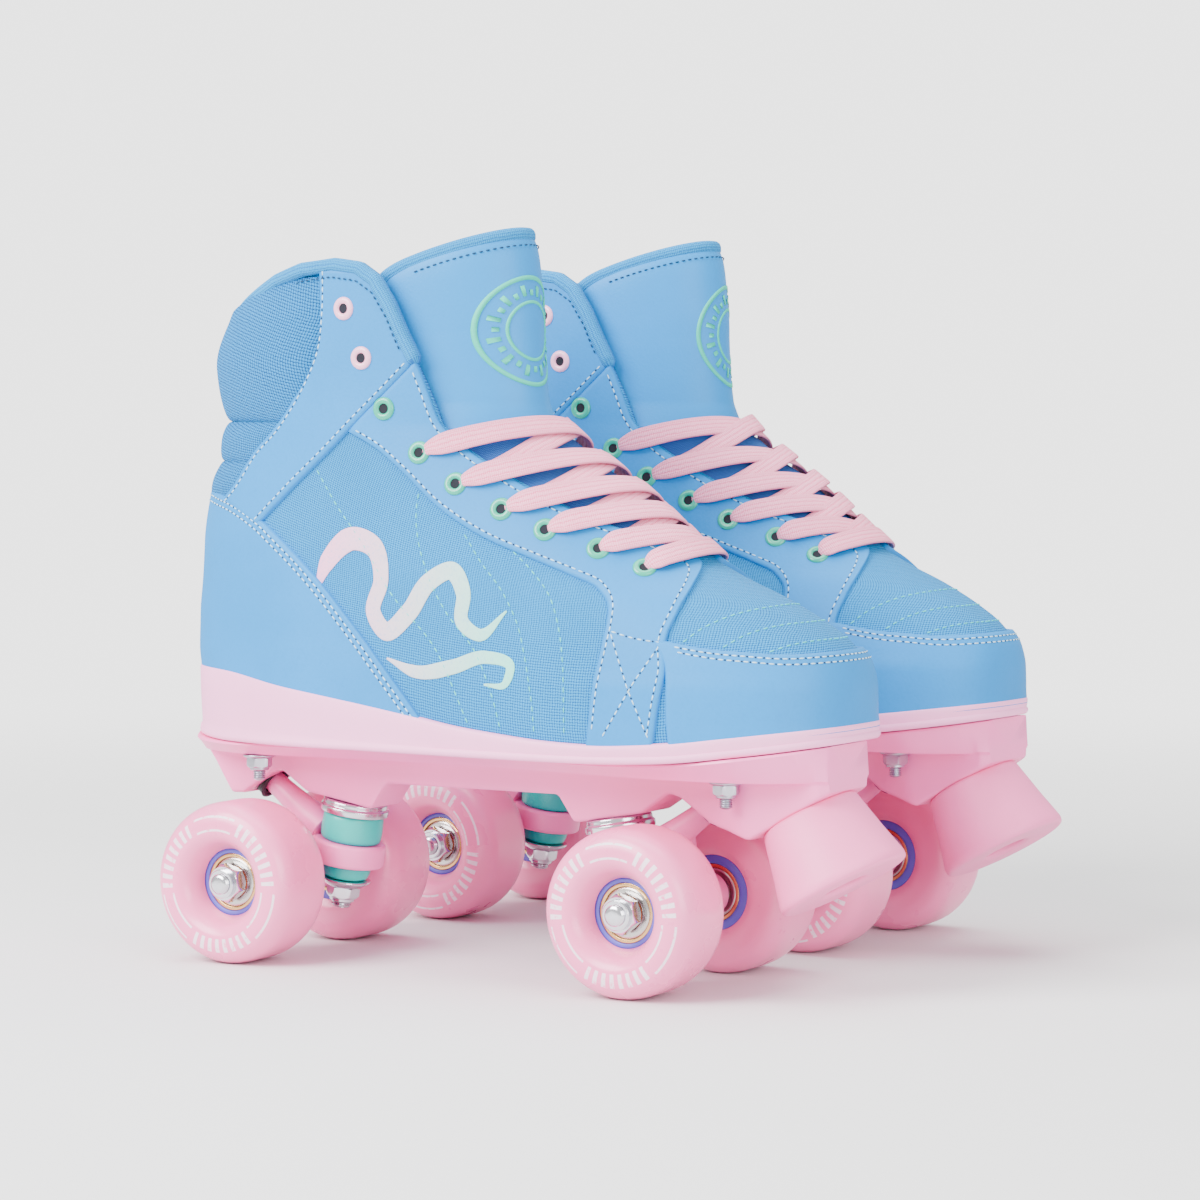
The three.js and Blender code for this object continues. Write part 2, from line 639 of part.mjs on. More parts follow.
// outer face of the outer bearing, on the +Y side of the skate
const BEARING_OUT = TRACK / 2 + WHEEL_W / 2 - NUT_RECESS;
const BEARING_IN = BEARING_OUT - 2 * BEARING_W - BEARING_GAP;

function axle(end) {
  const across = (from, to, r, sides) =>
    [-1, 1].map((side) =>
      rod([end * AXLE_X, side * from, AXLE_Z], [end * AXLE_X, side * to, AXLE_Z], r, r, sides));
  const nutAt = BEARING_OUT + GAP + WASHER_H;
  return union(
    rod([end * AXLE_X, -(nutAt + NUT_H + 1.6), AXLE_Z], [end * AXLE_X, nutAt + NUT_H + 1.6, AXLE_Z],
      AXLE_R, AXLE_R, 8),
    ...across(BEARING_OUT + GAP, nutAt, WASHER_R, 10),
    ...across(nutAt - 0.1, nutAt + NUT_H, NUT_FLATS_R, 6),
    ...across(HANGER_HALF + GAP, BEARING_IN - GAP, WASHER_R, 10),
  );
}

// Half outline of the tyre: radius and distance outwards from the wheel's middle plane
const OUT = WHEEL_W / 2;
const HUB_OUT = OUT - NUT_RECESS;
const HUB_IN = HUB_OUT - 2 * BEARING_W - BEARING_GAP;
const TYRE = [
  [HUB_R + GAP, HUB_OUT + 0.5],
  [HUB_R + 5.8, OUT - 1],
  [HUB_R + 8.5, OUT],
  [WHEEL_R - 3.2, OUT - 1.6],
  [WHEEL_R, OUT - 9],
  [WHEEL_R, -OUT + 9],
  [WHEEL_R - 3.2, -OUT + 1.6],
  [HUB_R + 5, -OUT],
  [HUB_R + GAP, HUB_IN + 0.2],
];
const HUB = [
  [AXLE_R + RUNNING, HUB_OUT], [HUB_R, HUB_OUT], [HUB_R, HUB_IN], [AXLE_R + RUNNING, HUB_IN],
];

// the tyre's sides are flats, so that the true round wheel fits inside and a flat is at the bottom
const ROUND_UP = 1 / Math.cos(Math.PI / WHEEL_SIDES);

function wheelPiece(outline, sides, grow) {
  return turned(outline.map(([r, y]) => [r > HUB_R + 1 ? r * grow : r, y]), sides, Math.PI / sides);
}

// ---------------------------------------------------------------- materials
const finish = (color, roughness, metalness = 0) =>
  new THREE.MeshStandardMaterial({ color, roughness, metalness });
const MATERIALS = {
  upper: finish(0x62b4e4, 0.7),
  tongue: finish(0x6fc0ee, 0.55),
  lace: finish(0xffc9cf, 0.9),
  insole: finish(0xf2c7d3, 0.9),
  outsole: finish(0xffdcec, 0.5),
  plate: finish(0xffb3d0, 0.35),
  steel: finish(0xc9c9cf, 0.25, 1),
  cushion: finish(0x6fd3c8, 0.4),
  tyre: finish(0xffbcd2, 0.3),
  hub: finish(0x8a86d8, 0.35),
};

// ---------------------------------------------------------------- one skate
function add(group, name, manifold, material) {
  const mesh = new THREE.Mesh(geometryFrom(manifold), MATERIALS[material]);
  mesh.name = name;
  group.add(mesh);
  return mesh;
}

function wheel(name, end, side) {
  const group = new THREE.Group();
  group.name = `${name}_wheel`;
  group.position.set(end * AXLE_X, (side * TRACK) / 2, AXLE_Z);
  const outwards = new THREE.Group();
  outwards.scale.y = side; // the hub lies nearer to the inner face
  group.add(outwards);
  add(outwards, `${name}_tyre`, wheelPiece(TYRE, WHEEL_SIDES, ROUND_UP), "tyre");
  add(outwards, `${name}_hub`, wheelPiece(HUB, HUB_SIDES, 1), "hub");
  return group;
}

function truck(name, end) {
  const group = new THREE.Group();
  group.name = `${name}_truck`;
  add(group, `${name}_hanger`, hanger(end), "plate");
  add(group, `${name}_axle`, axle(end), "steel");
  group.add(wheel(`${name}_outer`, end, -1), wheel(`${name}_inner`, end, 1));
  return group;
}

function skate(name) {
  const group = new THREE.Group();
  const upperSolid = upper();
  const tongueSolid = tongue();
  add(group, `${name}_upper`, upperSolid, "upper");
  add(group, `${name}_tongue`, tongueSolid, "tongue");
  add(group, `${name}_lace`, lace(), "lace");
  add(group, `${name}_insole`, insole(), "insole");
  add(group, `${name}_outsole`, outsole(), "outsole");
  add(group, `${name}_plate`, plate(), "plate");
  add(group, `${name}_toe_stop`, toeStop(), "plate");
  add(group, `${name}_toe_stop_bolt`, toeStopBolt(), "steel");
  for (const [place, x, y] of boltPlaces)
    add(group, `${name}_mounting_bolt_${place}`, mountingBolt(x, y), "steel");
  for (const [place, end] of [["front", 1], ["rear", -1]]) {
    add(group, `${name}_kingpin_${place}`, kingpin(end), "steel");
    add(
      group,
      `${name}_upper_cushion_${place}`,
      cushion(end, CUSHION_AT, UPPER_CUSHION_H, UPPER_CUSHION_R, UPPER_CUSHION_R),
      "cushion",
    );
    add(
      group,
      `${name}_lower_cushion_${place}`,
      cushion(end, LOWER_CUSHION_AT, LOWER_CUSHION_H, LOWER_CUSHION_R, LOWER_CUSHION_R - 1.2),
      "cushion",
    );
    group.add(truck(`${name}_${place}`, end));
  }
  return group;
}

// ---------------------------------------------------------------- the pair
const pair = new THREE.Group();
for (const [name, side] of [["right", -1], ["left", 1]]) {
  const placed = skate(name);
  placed.scale.y = -side; // the left skate is the mirror image of the right one
  const turnedIn = new THREE.Group();
  turnedIn.name = `${name}_skate`;
  turnedIn.position.y = (side * PAIR_SPACING) / 2;
  turnedIn.rotation.z = -side * TOE_IN;
  turnedIn.add(placed);
  pair.add(turnedIn);
}

// the origin is at the middle of the pair's footprint, on the floor
const box = new THREE.Box3().setFromObject(pair, true);
pair.position.x = -(box.min.x + box.max.x) / 2;

export default pair;
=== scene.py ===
# %% [markdown]
# # A pair of high-top quad roller skates
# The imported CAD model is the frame: it says where every wheel, truck and bolt is. This script
# gives each visible piece its fine surface. Both skates share one set of shapes, worked out once
# in the right skate's own frame (millimetres, +X to the toe, +Y to the inner side, the origin on
# the floor midway between the axles) and laid into the row frame twice.

import bmesh
import bpy
import numpy as np
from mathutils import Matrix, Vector


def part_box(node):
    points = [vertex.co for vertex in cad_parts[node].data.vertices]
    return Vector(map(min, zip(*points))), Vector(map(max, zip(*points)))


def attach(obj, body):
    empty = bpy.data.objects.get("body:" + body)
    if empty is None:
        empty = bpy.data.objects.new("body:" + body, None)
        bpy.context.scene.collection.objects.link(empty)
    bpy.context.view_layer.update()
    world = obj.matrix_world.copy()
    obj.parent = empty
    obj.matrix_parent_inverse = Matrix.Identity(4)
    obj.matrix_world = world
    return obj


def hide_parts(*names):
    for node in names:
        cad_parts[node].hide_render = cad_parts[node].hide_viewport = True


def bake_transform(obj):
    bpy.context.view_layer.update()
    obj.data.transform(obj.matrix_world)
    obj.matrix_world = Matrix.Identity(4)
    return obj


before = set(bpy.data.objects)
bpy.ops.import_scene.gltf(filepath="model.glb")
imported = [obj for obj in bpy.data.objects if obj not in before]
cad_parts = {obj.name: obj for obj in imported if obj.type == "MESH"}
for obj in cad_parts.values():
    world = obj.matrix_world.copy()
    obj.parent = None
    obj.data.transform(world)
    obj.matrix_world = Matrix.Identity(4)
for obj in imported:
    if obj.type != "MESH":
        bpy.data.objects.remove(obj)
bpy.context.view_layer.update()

# %% [markdown]
# A skate's own frame is read from its four tyres: the middle of the axles is the origin, the
# line from rear to front is ahead, and the line from outer to inner wheel is inwards. The left
# skate's frame comes out as the mirror image, so its faces have to be turned round.

# %% The two skates' frames


def middle(node):
    low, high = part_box(node)
    return (np.array(low) + np.array(high)) / 2


def skate_frame(name):
    """Origin and the ahead, inwards and up directions of one skate, from its tyres."""
    wheel = {(e, s): middle(f"{name}_{e}_{s}_tyre") for e in ("front", "rear") for s in ("outer", "inner")}
    origin = sum(wheel.values()) / 4
    origin[2] = 0
    ahead = wheel["front", "outer"] + wheel["front", "inner"]
    ahead = ahead - wheel["rear", "outer"] - wheel["rear", "inner"]
    inwards = wheel["front", "inner"] - wheel["front", "outer"]
    ahead[2] = inwards[2] = 0
    return origin, np.array([ahead / np.linalg.norm(ahead), inwards / np.linalg.norm(inwards), (0, 0, 1.0)])


SKATES = {name: skate_frame(name) for name in ("right", "left")}
for name, (origin, axes) in SKATES.items():
    print(name, "origin", origin.round(4), "ahead", axes[0].round(4), "turned over", np.linalg.det(axes) < 0)


def placed(points, name):
    """Points of the right skate's own frame in mm, laid into the row frame in metres."""
    origin, axes = SKATES[name]
    return origin + (np.asarray(points, float) / 1000) @ axes


# %% [markdown]
# Every new piece is a grid of points, so one small set of helpers turns grids into meshes:
# grid_faces says which four points make each face, and Shape gathers several grids into one
# piece. A piece is then made for the right skate, and mirrored for the left.

# %% From grids of points to objects


def grid_faces(rows, columns, wrap_rows=False, wrap_columns=False):
    """Quads between neighbouring points of a grid, as an array of four point numbers each."""
    r = np.arange(rows if wrap_rows else rows - 1)[:, None]
    c = np.arange(columns if wrap_columns else columns - 1)[None, :]
    r1, c1 = (r + 1) % rows, (c + 1) % columns
    return np.stack(
        np.broadcast_arrays(r * columns + c, r1 * columns + c, r1 * columns + c1, r * columns + c1), -1
    ).reshape(-1, 4)


class Shape:
    """Grids and templates gathered into one piece, in the right skate's own frame."""

    def __init__(self):
        self.points, self.faces, self.uvs, self.count = [], [], [], 0

    def grid(self, points, wrap_rows=False, wrap_columns=False, uv=None, flip=False):
        rows, columns = points.shape[:2]
        faces = grid_faces(rows, columns, wrap_rows, wrap_columns)
        self.add(
            points.reshape(-1, 3), faces[:, ::-1] if flip else faces,
            None if uv is None else uv.reshape(-1, 2)
        )
        return self

    def add(self, points, faces, uv=None):
        self.points.append(points)
        self.faces.append(faces + self.count)
        self.uvs.append(np.zeros((len(points), 2)) if uv is None else uv)
        self.count += len(points)
        return self

    def mesh(self, name, skate, tidy):
        points, faces, uv = np.concatenate(self.points), np.concatenate(self.faces), np.concatenate(self.uvs)
        if np.linalg.det(SKATES[skate][1]) < 0:
            faces = faces[:, ::-1]
        mesh = bpy.data.meshes.new(name)
        mesh.vertices.add(len(points))
        mesh.vertices.foreach_set("co", placed(points, skate).ravel())
        mesh.loops.add(faces.size)
        mesh.loops.foreach_set("vertex_index", faces.ravel())
        mesh.polygons.add(len(faces))
        mesh.polygons.foreach_set("loop_start", np.arange(0, faces.size, 4))
        mesh.polygons.foreach_set("loop_total", np.full(len(faces), 4))
        mesh.polygons.foreach_set("use_smooth", np.ones(len(faces), bool))
        layer = mesh.uv_layers.new(name="UVMap")
        layer.data.foreach_set("uv", uv[faces.ravel()].ravel())
        mesh.update(calc_edges=True)
        mesh.validate()
        work = bmesh.new()
        work.from_mesh(mesh)
        bmesh.ops.remove_doubles(work, verts=work.verts, dist=2e-6)
        bmesh.ops.dissolve_degenerate(work, dist=1e-7, edges=work.edges)
        if tidy:
            bmesh.ops.recalc_face_normals(work, faces=work.faces)
        work.to_mesh(mesh)
        work.free()
        return mesh


def piece(name, shape, material, body="boots", nodes=(), tidy=True, sharp=None):
    """One object for each skate from a Shape. body and nodes are named without the skate."""
    made = []
    for skate in SKATES:
        obj = bpy.data.objects.new(f"{skate}_{name}", shape.mesh(f"{skate}_{name}", skate, tidy))
        bpy.context.scene.collection.objects.link(obj)
        for m in material if isinstance(material, (list, tuple)) else [material]:
            obj.data.materials.append(m)
        if sharp:
            obj.data.set_sharp_from_angle(angle=np.radians(sharp))
        if body:
            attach(obj, body if body == "boots" else f"{skate}_{body}")
        if nodes:
            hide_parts(*[f"{skate}_{n}" for n in nodes])
        made.append(obj)
    print(f"{name}: {len(made[0].data.polygons)} faces")
    return made


# %% [markdown]
# Smooth lines are cubic curves through a few points. The slope at each point comes from its
# neighbours. For a table of sizes it is also limited, so that the curve never swings past a
# value that is in the table.

# %% Smooth curves through points


def hermite(xs, ys, slopes, at):
    """The cubic between each two places that has the given values and slopes at both."""
    at = np.clip(at, xs[0], xs[-1])
    i = np.clip(np.searchsorted(xs, at, side="right") - 1, 0, len(xs) - 2)
    h = xs[i + 1] - xs[i]
    t = (at - xs[i]) / h
    return (
        (1 + 2 * t) * (1 - t) ** 2 * ys[i]
        + t * (1 - t) ** 2 * h * slopes[i]
        + t * t * (3 - 2 * t) * ys[i + 1]
        + t * t * (t - 1) * h * slopes[i + 1]
    )


def through(xs, ys, at):
    """A table's value at the given places, as a curve that keeps between its neighbours."""
    xs, ys = np.asarray(xs, float), np.asarray(ys, float)
    d = np.diff(ys) / np.diff(xs)
    slopes = np.zeros_like(ys)
    same = d[1:] * d[:-1] > 0
    slopes[1:-1][same] = 2 * (d[1:] * d[:-1])[same] / (d[1:] + d[:-1])[same]
    slopes[0], slopes[-1] = d[0], d[-1]
    return hermite(xs, ys, slopes, at)


def curve(points, count=None, at=None, straight=False):
    """A smooth curve through points, evenly sampled along its length."""
    points = np.asarray(points, float)
    place = np.concatenate([[0], np.cumsum(np.linalg.norm(np.diff(points, axis=0), axis=1))])
    at = np.linspace(0, place[-1], count) if at is None else np.asarray(at) * place[-1]
    if straight or len(points) < 3:
        return np.stack([np.interp(at, place, p) for p in points.T], -1)
    return np.stack([hermite(place, p, np.gradient(p, place), at) for p in points.T], -1)


def unit(v):
    return v / np.maximum(np.linalg.norm(v, axis=-1, keepdims=True), 1e-12)


# %% [markdown]
# # The boot's surface
# A boot is a stack of level outlines. Each outline is an oval that is a little square, from the
# back of the heel to the front, and the table gives its ends, its half width, how square it is
# and how much it widens towards the toe. phi runs round an outline: 0 at the heel, pi at the toe,
# negative on the outer side. Every panel, seam and eyelet is then drawn on this one surface.

# %% Outlines of the boot
BOOT = np.array(
    [
        # height, back, front, half width, how square, widening
        [84, -122.5, 157, 44.5, 2.7, 6],
        [92, -123, 157, 44.5, 2.7, 6],
        [102, -123.3, 156, 44.5, 2.7, 6],
        [111, -123.8, 156, 44.5, 2.65, 6],
        [118.5, -125, 155, 44, 2.55, 5],
        [127, -125.3, 149, 43.2, 2.45, 4.4],
        [134, -125.2, 139.5, 42.5, 2.4, 3.6],
        [142.6, -124.7, 124, 41.6, 2.3, 3],
        [149.4, -124.5, 109, 40.6, 2.2, 2],
        [156, -124.2, 97, 39.6, 2.15, 1],
        [163, -123.9, 89, 38.8, 2.1, 0],
        [179, -121.5, 70, 37, 2, 0],
        [190, -117, 54, 35.8, 2, 0],
        [199, -113.5, 41, 35, 2, 0],
        [207, -112.5, 33, 34.5, 2, 0],
        [227, -112.5, 30.5, 34, 2, 0],
        [244, -106.5, 30, 34, 2, 0],
        [262, -101, 28, 34, 2, 0],
        [282, -98, 26, 34, 2, 0],
    ]
)
TOE_TIP, TOE_BEND, BEND_FROM = 157, 5, 10


def boot(phi, z, out=0.0):
    """Points of the boot: x goes from back to front as -cos(phi), y is the oval's half width there,
    and the toe bends inwards with the square of the distance. out lifts a point off the leather."""
    phi, z = np.broadcast_arrays(np.asarray(phi, float), np.asarray(z, float))

    def bare(phi, z):
        back, front, half, square, widen = (through(BOOT[:, 0], BOOT[:, k], z) for k in range(1, 6))
        share = -np.cos(phi)
        x = (front + back) / 2 + (front - back) / 2 * share
        oval = np.maximum(0, 1 - np.abs(share) ** square) ** (1 / square)
        y = np.sign(np.sin(phi)) * (half + widen * share) * oval
        return np.stack([x, y + toe_bend(x), z], -1)

    point = bare(phi, z)
    if np.all(np.asarray(out) == 0):
        return point
    e = 0.02
    round_ = bare(phi + e, z) - bare(phi - e, z)
    upwards = bare(phi, z + 0.4) - bare(phi, z - 0.4)
    return point + unit(np.cross(upwards, round_)) * np.asarray(out)[..., None]


def toe_bend(x):
    return TOE_BEND * (np.maximum(0, x - BEND_FROM) / (TOE_TIP - BEND_FROM)) ** 2


def phi_at(x, z):
    """The place round the outline of a point seen from the side."""
    back, front = through(BOOT[:, 0], BOOT[:, 1], z), through(BOOT[:, 0], BOOT[:, 2], z)
    return np.arccos(np.clip(-(2 * (np.asarray(x, float) - back) / (front - back) - 1), -1, 1))


# %% [markdown]
# The upper's edge is drawn in side view: along the collar, down the front of the ankle, and
# along the throat to the vamp. The rim of the outsole is another such line.

# %% Edges seen from the side
TOP_EDGE = np.array(
    [
        [-140, 243], [-109, 244], [-94, 250.5], [-73, 260], [-59, 264], [-45, 265.5], [-34, 264],
        [-27, 259.5], [-21, 250], [-16, 239], [-11, 229], [-6, 219], [0, 206], [10, 197.5], [26, 188],
        [57, 173], [80, 164.5], [94, 158.4], [110, 151]
    ]
)
SOLE = np.array(
    [
        [-127, 88, 112.4], [-119, 84.5, 112], [-98, 83.6, 111], [-68, 83.6, 106.8], [-46, 83.8, 104.2],
        [-24, 84, 101.4], [-2, 84, 98.2], [14, 84, 95.6], [30, 84, 93.8], [57, 84, 91.6],
        [72, 84.1, 91.2], [99, 85.1, 92.6], [124, 87.8, 95.6], [142, 90.2, 97.8], [160, 93, 99.8]
    ]
)


def sole_low(x):
    return through(SOLE[:, 0], SOLE[:, 1], x)


def sole_high(x):
    return through(SOLE[:, 0], SOLE[:, 2], x)


def height_of_edge(phi, edge, low, high):
    """The height where a column of the boot crosses an edge drawn in side view, by halving."""
    low, high = np.full(phi.shape, float(low)), np.full(phi.shape, float(high))
    for _ in range(26):
        z = (low + high) / 2
        under = z < edge(boot(phi, z)[..., 0])
        low, high = np.where(under, z, low), np.where(under, high, z)
    return low


def throat_edge(x):
    return np.interp(x, TOP_EDGE[:, 0], TOP_EDGE[:, 1])


phis = np.linspace(-np.pi, np.pi, 241)
upper_top = height_of_edge(phis, throat_edge, 120, 275)
upper_low = height_of_edge(phis, lambda x: sole_high(x) - 3, 80, 118)
print("upper's edge from", upper_top.min().round(1), "to", upper_top.max().round(1))

# %% [markdown]
# # Finishes
# Each finish is a node material. Effects that several of them share, the woven cloth, the
# leather's grain and the faint unevenness of handled surfaces, are node groups that put out
# masks and heights, and the Principled shader stays in the material.

# %% Node helpers


def srgb(r, g, b):
    c = np.array([r, g, b]) / 255
    return (*np.where(c <= 0.04045, c / 12.92, ((c + 0.055) / 1.055) ** 2.4), 1.0)


class Nodes:
    """Short words for making nodes in one tree: node(kind, inputs by name or number) -> node."""

    def __init__(self, tree):
        self.tree = tree

    def __call__(self, kind, inputs=None, **settings):
        node = self.tree.nodes.new("ShaderNode" + kind)
        for key, value in settings.items():
            setattr(node, key, value)
        for key, value in (inputs or {}).items():
            socket = node.inputs[key]
            if isinstance(value, bpy.types.NodeSocket):
                self.tree.links.new(value, socket)
            else:
                socket.default_value = value
        return node

    def math(self, operation, a, b=0.0, clamp=False):
        return self("Math", {0: a, 1: b}, operation=operation, use_clamp=clamp).outputs[0]

    def mix(self, factor, a, b):
        return self("Mix", {0: factor, 6: a, 7: b}, data_type="RGBA").outputs[2]

    def ramp(self, value, low, high):
        return self(
            "MapRange", {0: value, 1: low, 2: high, 3: 0.0, 4: 1.0}, interpolation_type="SMOOTHSTEP"
        ).outputs[0]


def group(name, inputs, outputs, build):
    """A shader node group with float or vector inputs; build(nodes, inputs) returns its outputs."""
    tree = bpy.data.node_groups.new(name, "ShaderNodeTree")
    for title, kind, value in inputs:
        socket = tree.interface.new_socket(title, in_out="INPUT", socket_type=kind)
        if kind == "NodeSocketFloat":
            socket.default_value = value
    for title, kind in outputs:
        tree.interface.new_socket(title, in_out="OUTPUT", socket_type=kind)
    nodes = Nodes(tree)
    start, end = nodes.tree.nodes.new("NodeGroupInput"), nodes.tree.nodes.new("NodeGroupOutput")
    for socket, value in zip(end.inputs, build(nodes, {s.name: s for s in start.outputs if s.name})):
        tree.links.new(value, socket)
    return tree


# %% [markdown]
# The quarter is a coarse basket weave: two threads over two. Its height is worked out from the
# piece's own UV map, which counts millimetres along the cloth. Warp and weft are rows of round
# threads, and a checkerboard says which of the two lies on top.

# %% The weave group


def build_weave(n, i):
    scaled = n("VectorMath", {0: i["Vector"]}, operation="SCALE")
    n.tree.links.new(i["Threads"], scaled.inputs["Scale"])
    wobble = n("TexNoise", {"Vector": scaled.outputs[0], "Scale": 0.35, "Detail": 1.0})
    soft = n("VectorMath", {0: wobble.outputs["Color"], 1: (0.5, 0.5, 0.5)}, operation="SUBTRACT")
    small = n("VectorMath", {0: soft.outputs[0]}, operation="SCALE")
    small.inputs["Scale"].default_value = 0.5
    moved = n("VectorMath", {0: scaled.outputs[0], 1: small.outputs[0]}, operation="ADD")
    parts = n("SeparateXYZ", {0: moved.outputs[0]})
    across, along = parts.outputs[0], parts.outputs[1]
    rounds = [n.math("ABSOLUTE", n.math("SINE", n.math("MULTIPLY", v, np.pi))) for v in (across, along)]
    checker = n(
        "TexChecker",
        {"Vector": moved.outputs[0], "Color1": (0, 0, 0, 1), "Color2": (1, 1, 1, 1), "Scale": 1.0}
    )
    on_top = n("Mix", {0: checker.outputs["Fac"], 2: rounds[0], 3: rounds[1]}, data_type="FLOAT").outputs[0]
    crossing = n.math("MULTIPLY", rounds[0], rounds[1])
    height = n.math("ADD", n.math("MULTIPLY", on_top, 0.6), n.math("MULTIPLY", crossing, 0.4))
    # the gaps between the threads, where the cloth finishes paint shade
    gap = n.ramp(height, 0.62, 0.2)
    return height, gap


WEAVE = group(
    "weave",
    [("Vector", "NodeSocketVector", 0), ("Threads", "NodeSocketFloat", 1.0)],
    [("Height", "NodeSocketFloat"), ("Gap", "NodeSocketFloat")],
    build_weave,
)

# %% [markdown]
# Smooth shoe leather has a fine pebble grain with soft creases between the pebbles. A cell pattern gives the
# pebbles and two noises break them up, and the creases are put out as a mask that the leather uses for
# painted shade. Cloudy is a slow change over the surface, for the slightly uneven dye and gloss that keeps a
# surface from looking like paint.

# %% The grain and cloudiness groups


def build_grain(n, i):
    scaled = n("VectorMath", {0: i["Vector"]}, operation="SCALE")
    n.tree.links.new(i["Size"], scaled.inputs["Scale"])
    warp = n("TexNoise", {"Vector": scaled.outputs[0], "Scale": 0.6, "Detail": 2.0})
    bent = n("VectorMath", {0: scaled.outputs[0], 1: warp.outputs["Color"]}, operation="ADD")
    cells = n("TexVoronoi", {"Vector": bent.outputs[0], "Scale": 1.0}, feature="SMOOTH_F1")
    fine = n("TexNoise", {"Vector": scaled.outputs[0], "Scale": 2.6, "Detail": 3.0})
    height = n.math("ADD", n.math("MULTIPLY", n.math("SUBTRACT", 1.0, cells.outputs["Distance"]), 0.7),
                    n.math("MULTIPLY", fine.outputs["Fac"], 0.3))
    # the second output marks the valleys between the pebbles, where the leather paints shade
    return height, n.ramp(cells.outputs["Distance"], 0.35, 0.75)


GRAIN = group(
    "grain",
    [("Vector", "NodeSocketVector", 0), ("Size", "NodeSocketFloat", 1000.0)],
    [("Height", "NodeSocketFloat"), ("Crease", "NodeSocketFloat")],
    build_grain,
)


def build_cloudy(n, i):
    scaled = n("VectorMath", {0: i["Vector"]}, operation="SCALE")
    n.tree.links.new(i["Size"], scaled.inputs["Scale"])
    slow = n("TexNoise", {"Vector": scaled.outputs[0], "Scale": 1.0, "Detail": 4.0, "Roughness": 0.55})
    fine = n("TexNoise", {"Vector": scaled.outputs[0], "Scale": 14.0, "Detail": 2.0})
    return n.ramp(slow.outputs["Fac"], 0.3, 0.7), fine.outputs["Fac"]


CLOUDY = group(
    "cloudy",
    [("Vector", "NodeSocketVector", 0), ("Size", "NodeSocketFloat", 30.0)],
    [("Slow", "NodeSocketFloat"), ("Fine", "NodeSocketFloat")],
    build_cloudy,
)

# %% [markdown]
# Most moulded and cast pieces share one recipe, so it is a function: a base colour that drifts
# a little lighter and darker, roughness that drifts with it, and a faint bump.

# %% The material recipes


def start_material(name, **shader):
    material = bpy.data.materials.new(name)
    material.use_nodes = True
    n = Nodes(material.node_tree)
    bsdf = material.node_tree.nodes["Principled BSDF"]
    for key, value in shader.items():
        bsdf.inputs[key.replace("_", " ")].default_value = value
    return material, n, bsdf


def link(n, value, socket):
    n.tree.links.new(value, socket)


def shade(color, k):
    return (*(min(1.0, c * k) for c in color[:3]), 1.0)


def use(n, tree, vector, **inputs):
    node = n("Group")
    node.node_tree = tree
    link(n, vector, node.inputs["Vector"])
    for key, value in inputs.items():
        node.inputs[key].default_value = value
    return node


def raise_surface(n, bsdf, height, strength, distance):
    bump = n("Bump", {"Height": height, "Strength": strength, "Distance": distance})
    link(n, bump.outputs[0], bsdf.inputs["Normal"])


def roughen(n, bsdf, base, *shares):
    """Roughness from a base value and shares of some masks, each given as (mask, amount)."""
    parts = [n.math("MULTIPLY", mask, amount) for mask, amount in shares]
    total = parts[0]
    for part in parts[1:]:
        total = n.math("ADD", total, part)
    link(n, n.math("ADD", total, base), bsdf.inputs["Roughness"])


def moulded(name, color, rough, drift=0.06, size=30.0, bump=0.02, **shader):
    """Plastic, cast urethane or rubber: cloudy colour and gloss over a faint orange peel."""
    material, n, bsdf = start_material(name, **shader)
    place = n("TexCoord").outputs["Object"]
    cloud = use(n, CLOUDY, place, Size=size)
    slow, fine = cloud.outputs["Slow"], cloud.outputs["Fine"]
    link(n, n.mix(slow, shade(color, 1 - drift), shade(color, 1 + drift)), bsdf.inputs["Base Color"])
    roughen(n, bsdf, rough - 0.06, (slow, 0.08), (fine, 0.05))
    raise_surface(n, bsdf, fine, bump, 0.001)
    return material


def plated(name, color, rough, size=60.0):
    """Plated steel: metal whose gloss and tone vary, with fine turning marks."""
    material, n, bsdf = start_material(name, Metallic=1.0)
    place = n("TexCoord").outputs["Object"]
    cloud = use(n, CLOUDY, place, Size=size)
    link(n, n.mix(cloud.outputs["Slow"], shade(color, 0.88), shade(color, 1.04)), bsdf.inputs["Base Color"])
    roughen(n, bsdf, rough - 0.05, (cloud.outputs["Fine"], 0.14))
    raise_surface(n, bsdf, cloud.outputs["Fine"], 0.06, 0.0005)
    return material


def hide(name, color, rough, size=900.0, bump=0.12):
    """Coated leather: fine pebbles, painted shade in the creases between them, and a cloudy dye."""
    material, n, bsdf = start_material(name, Specular_IOR_Level=0.22)
    place = n("TexCoord").outputs["Object"]
    grain, cloud = use(n, GRAIN, place, Size=size), use(n, CLOUDY, place, Size=18.0)
    base = n.mix(cloud.outputs["Slow"], shade(color, 0.95), shade(color, 1.05))
    # painted shade: the valleys between the pebbles are darkened a little
    valley_shaded = n.mix(n.math("MULTIPLY", grain.outputs["Crease"], 0.16), base, shade(color, 0.8))
    link(n, valley_shaded, bsdf.inputs["Base Color"])
    roughen(n, bsdf, rough - 0.06, (cloud.outputs["Slow"], 0.06), (grain.outputs["Height"], 0.08))
    raise_surface(n, bsdf, grain.outputs["Height"], bump, 0.0006)
    return material


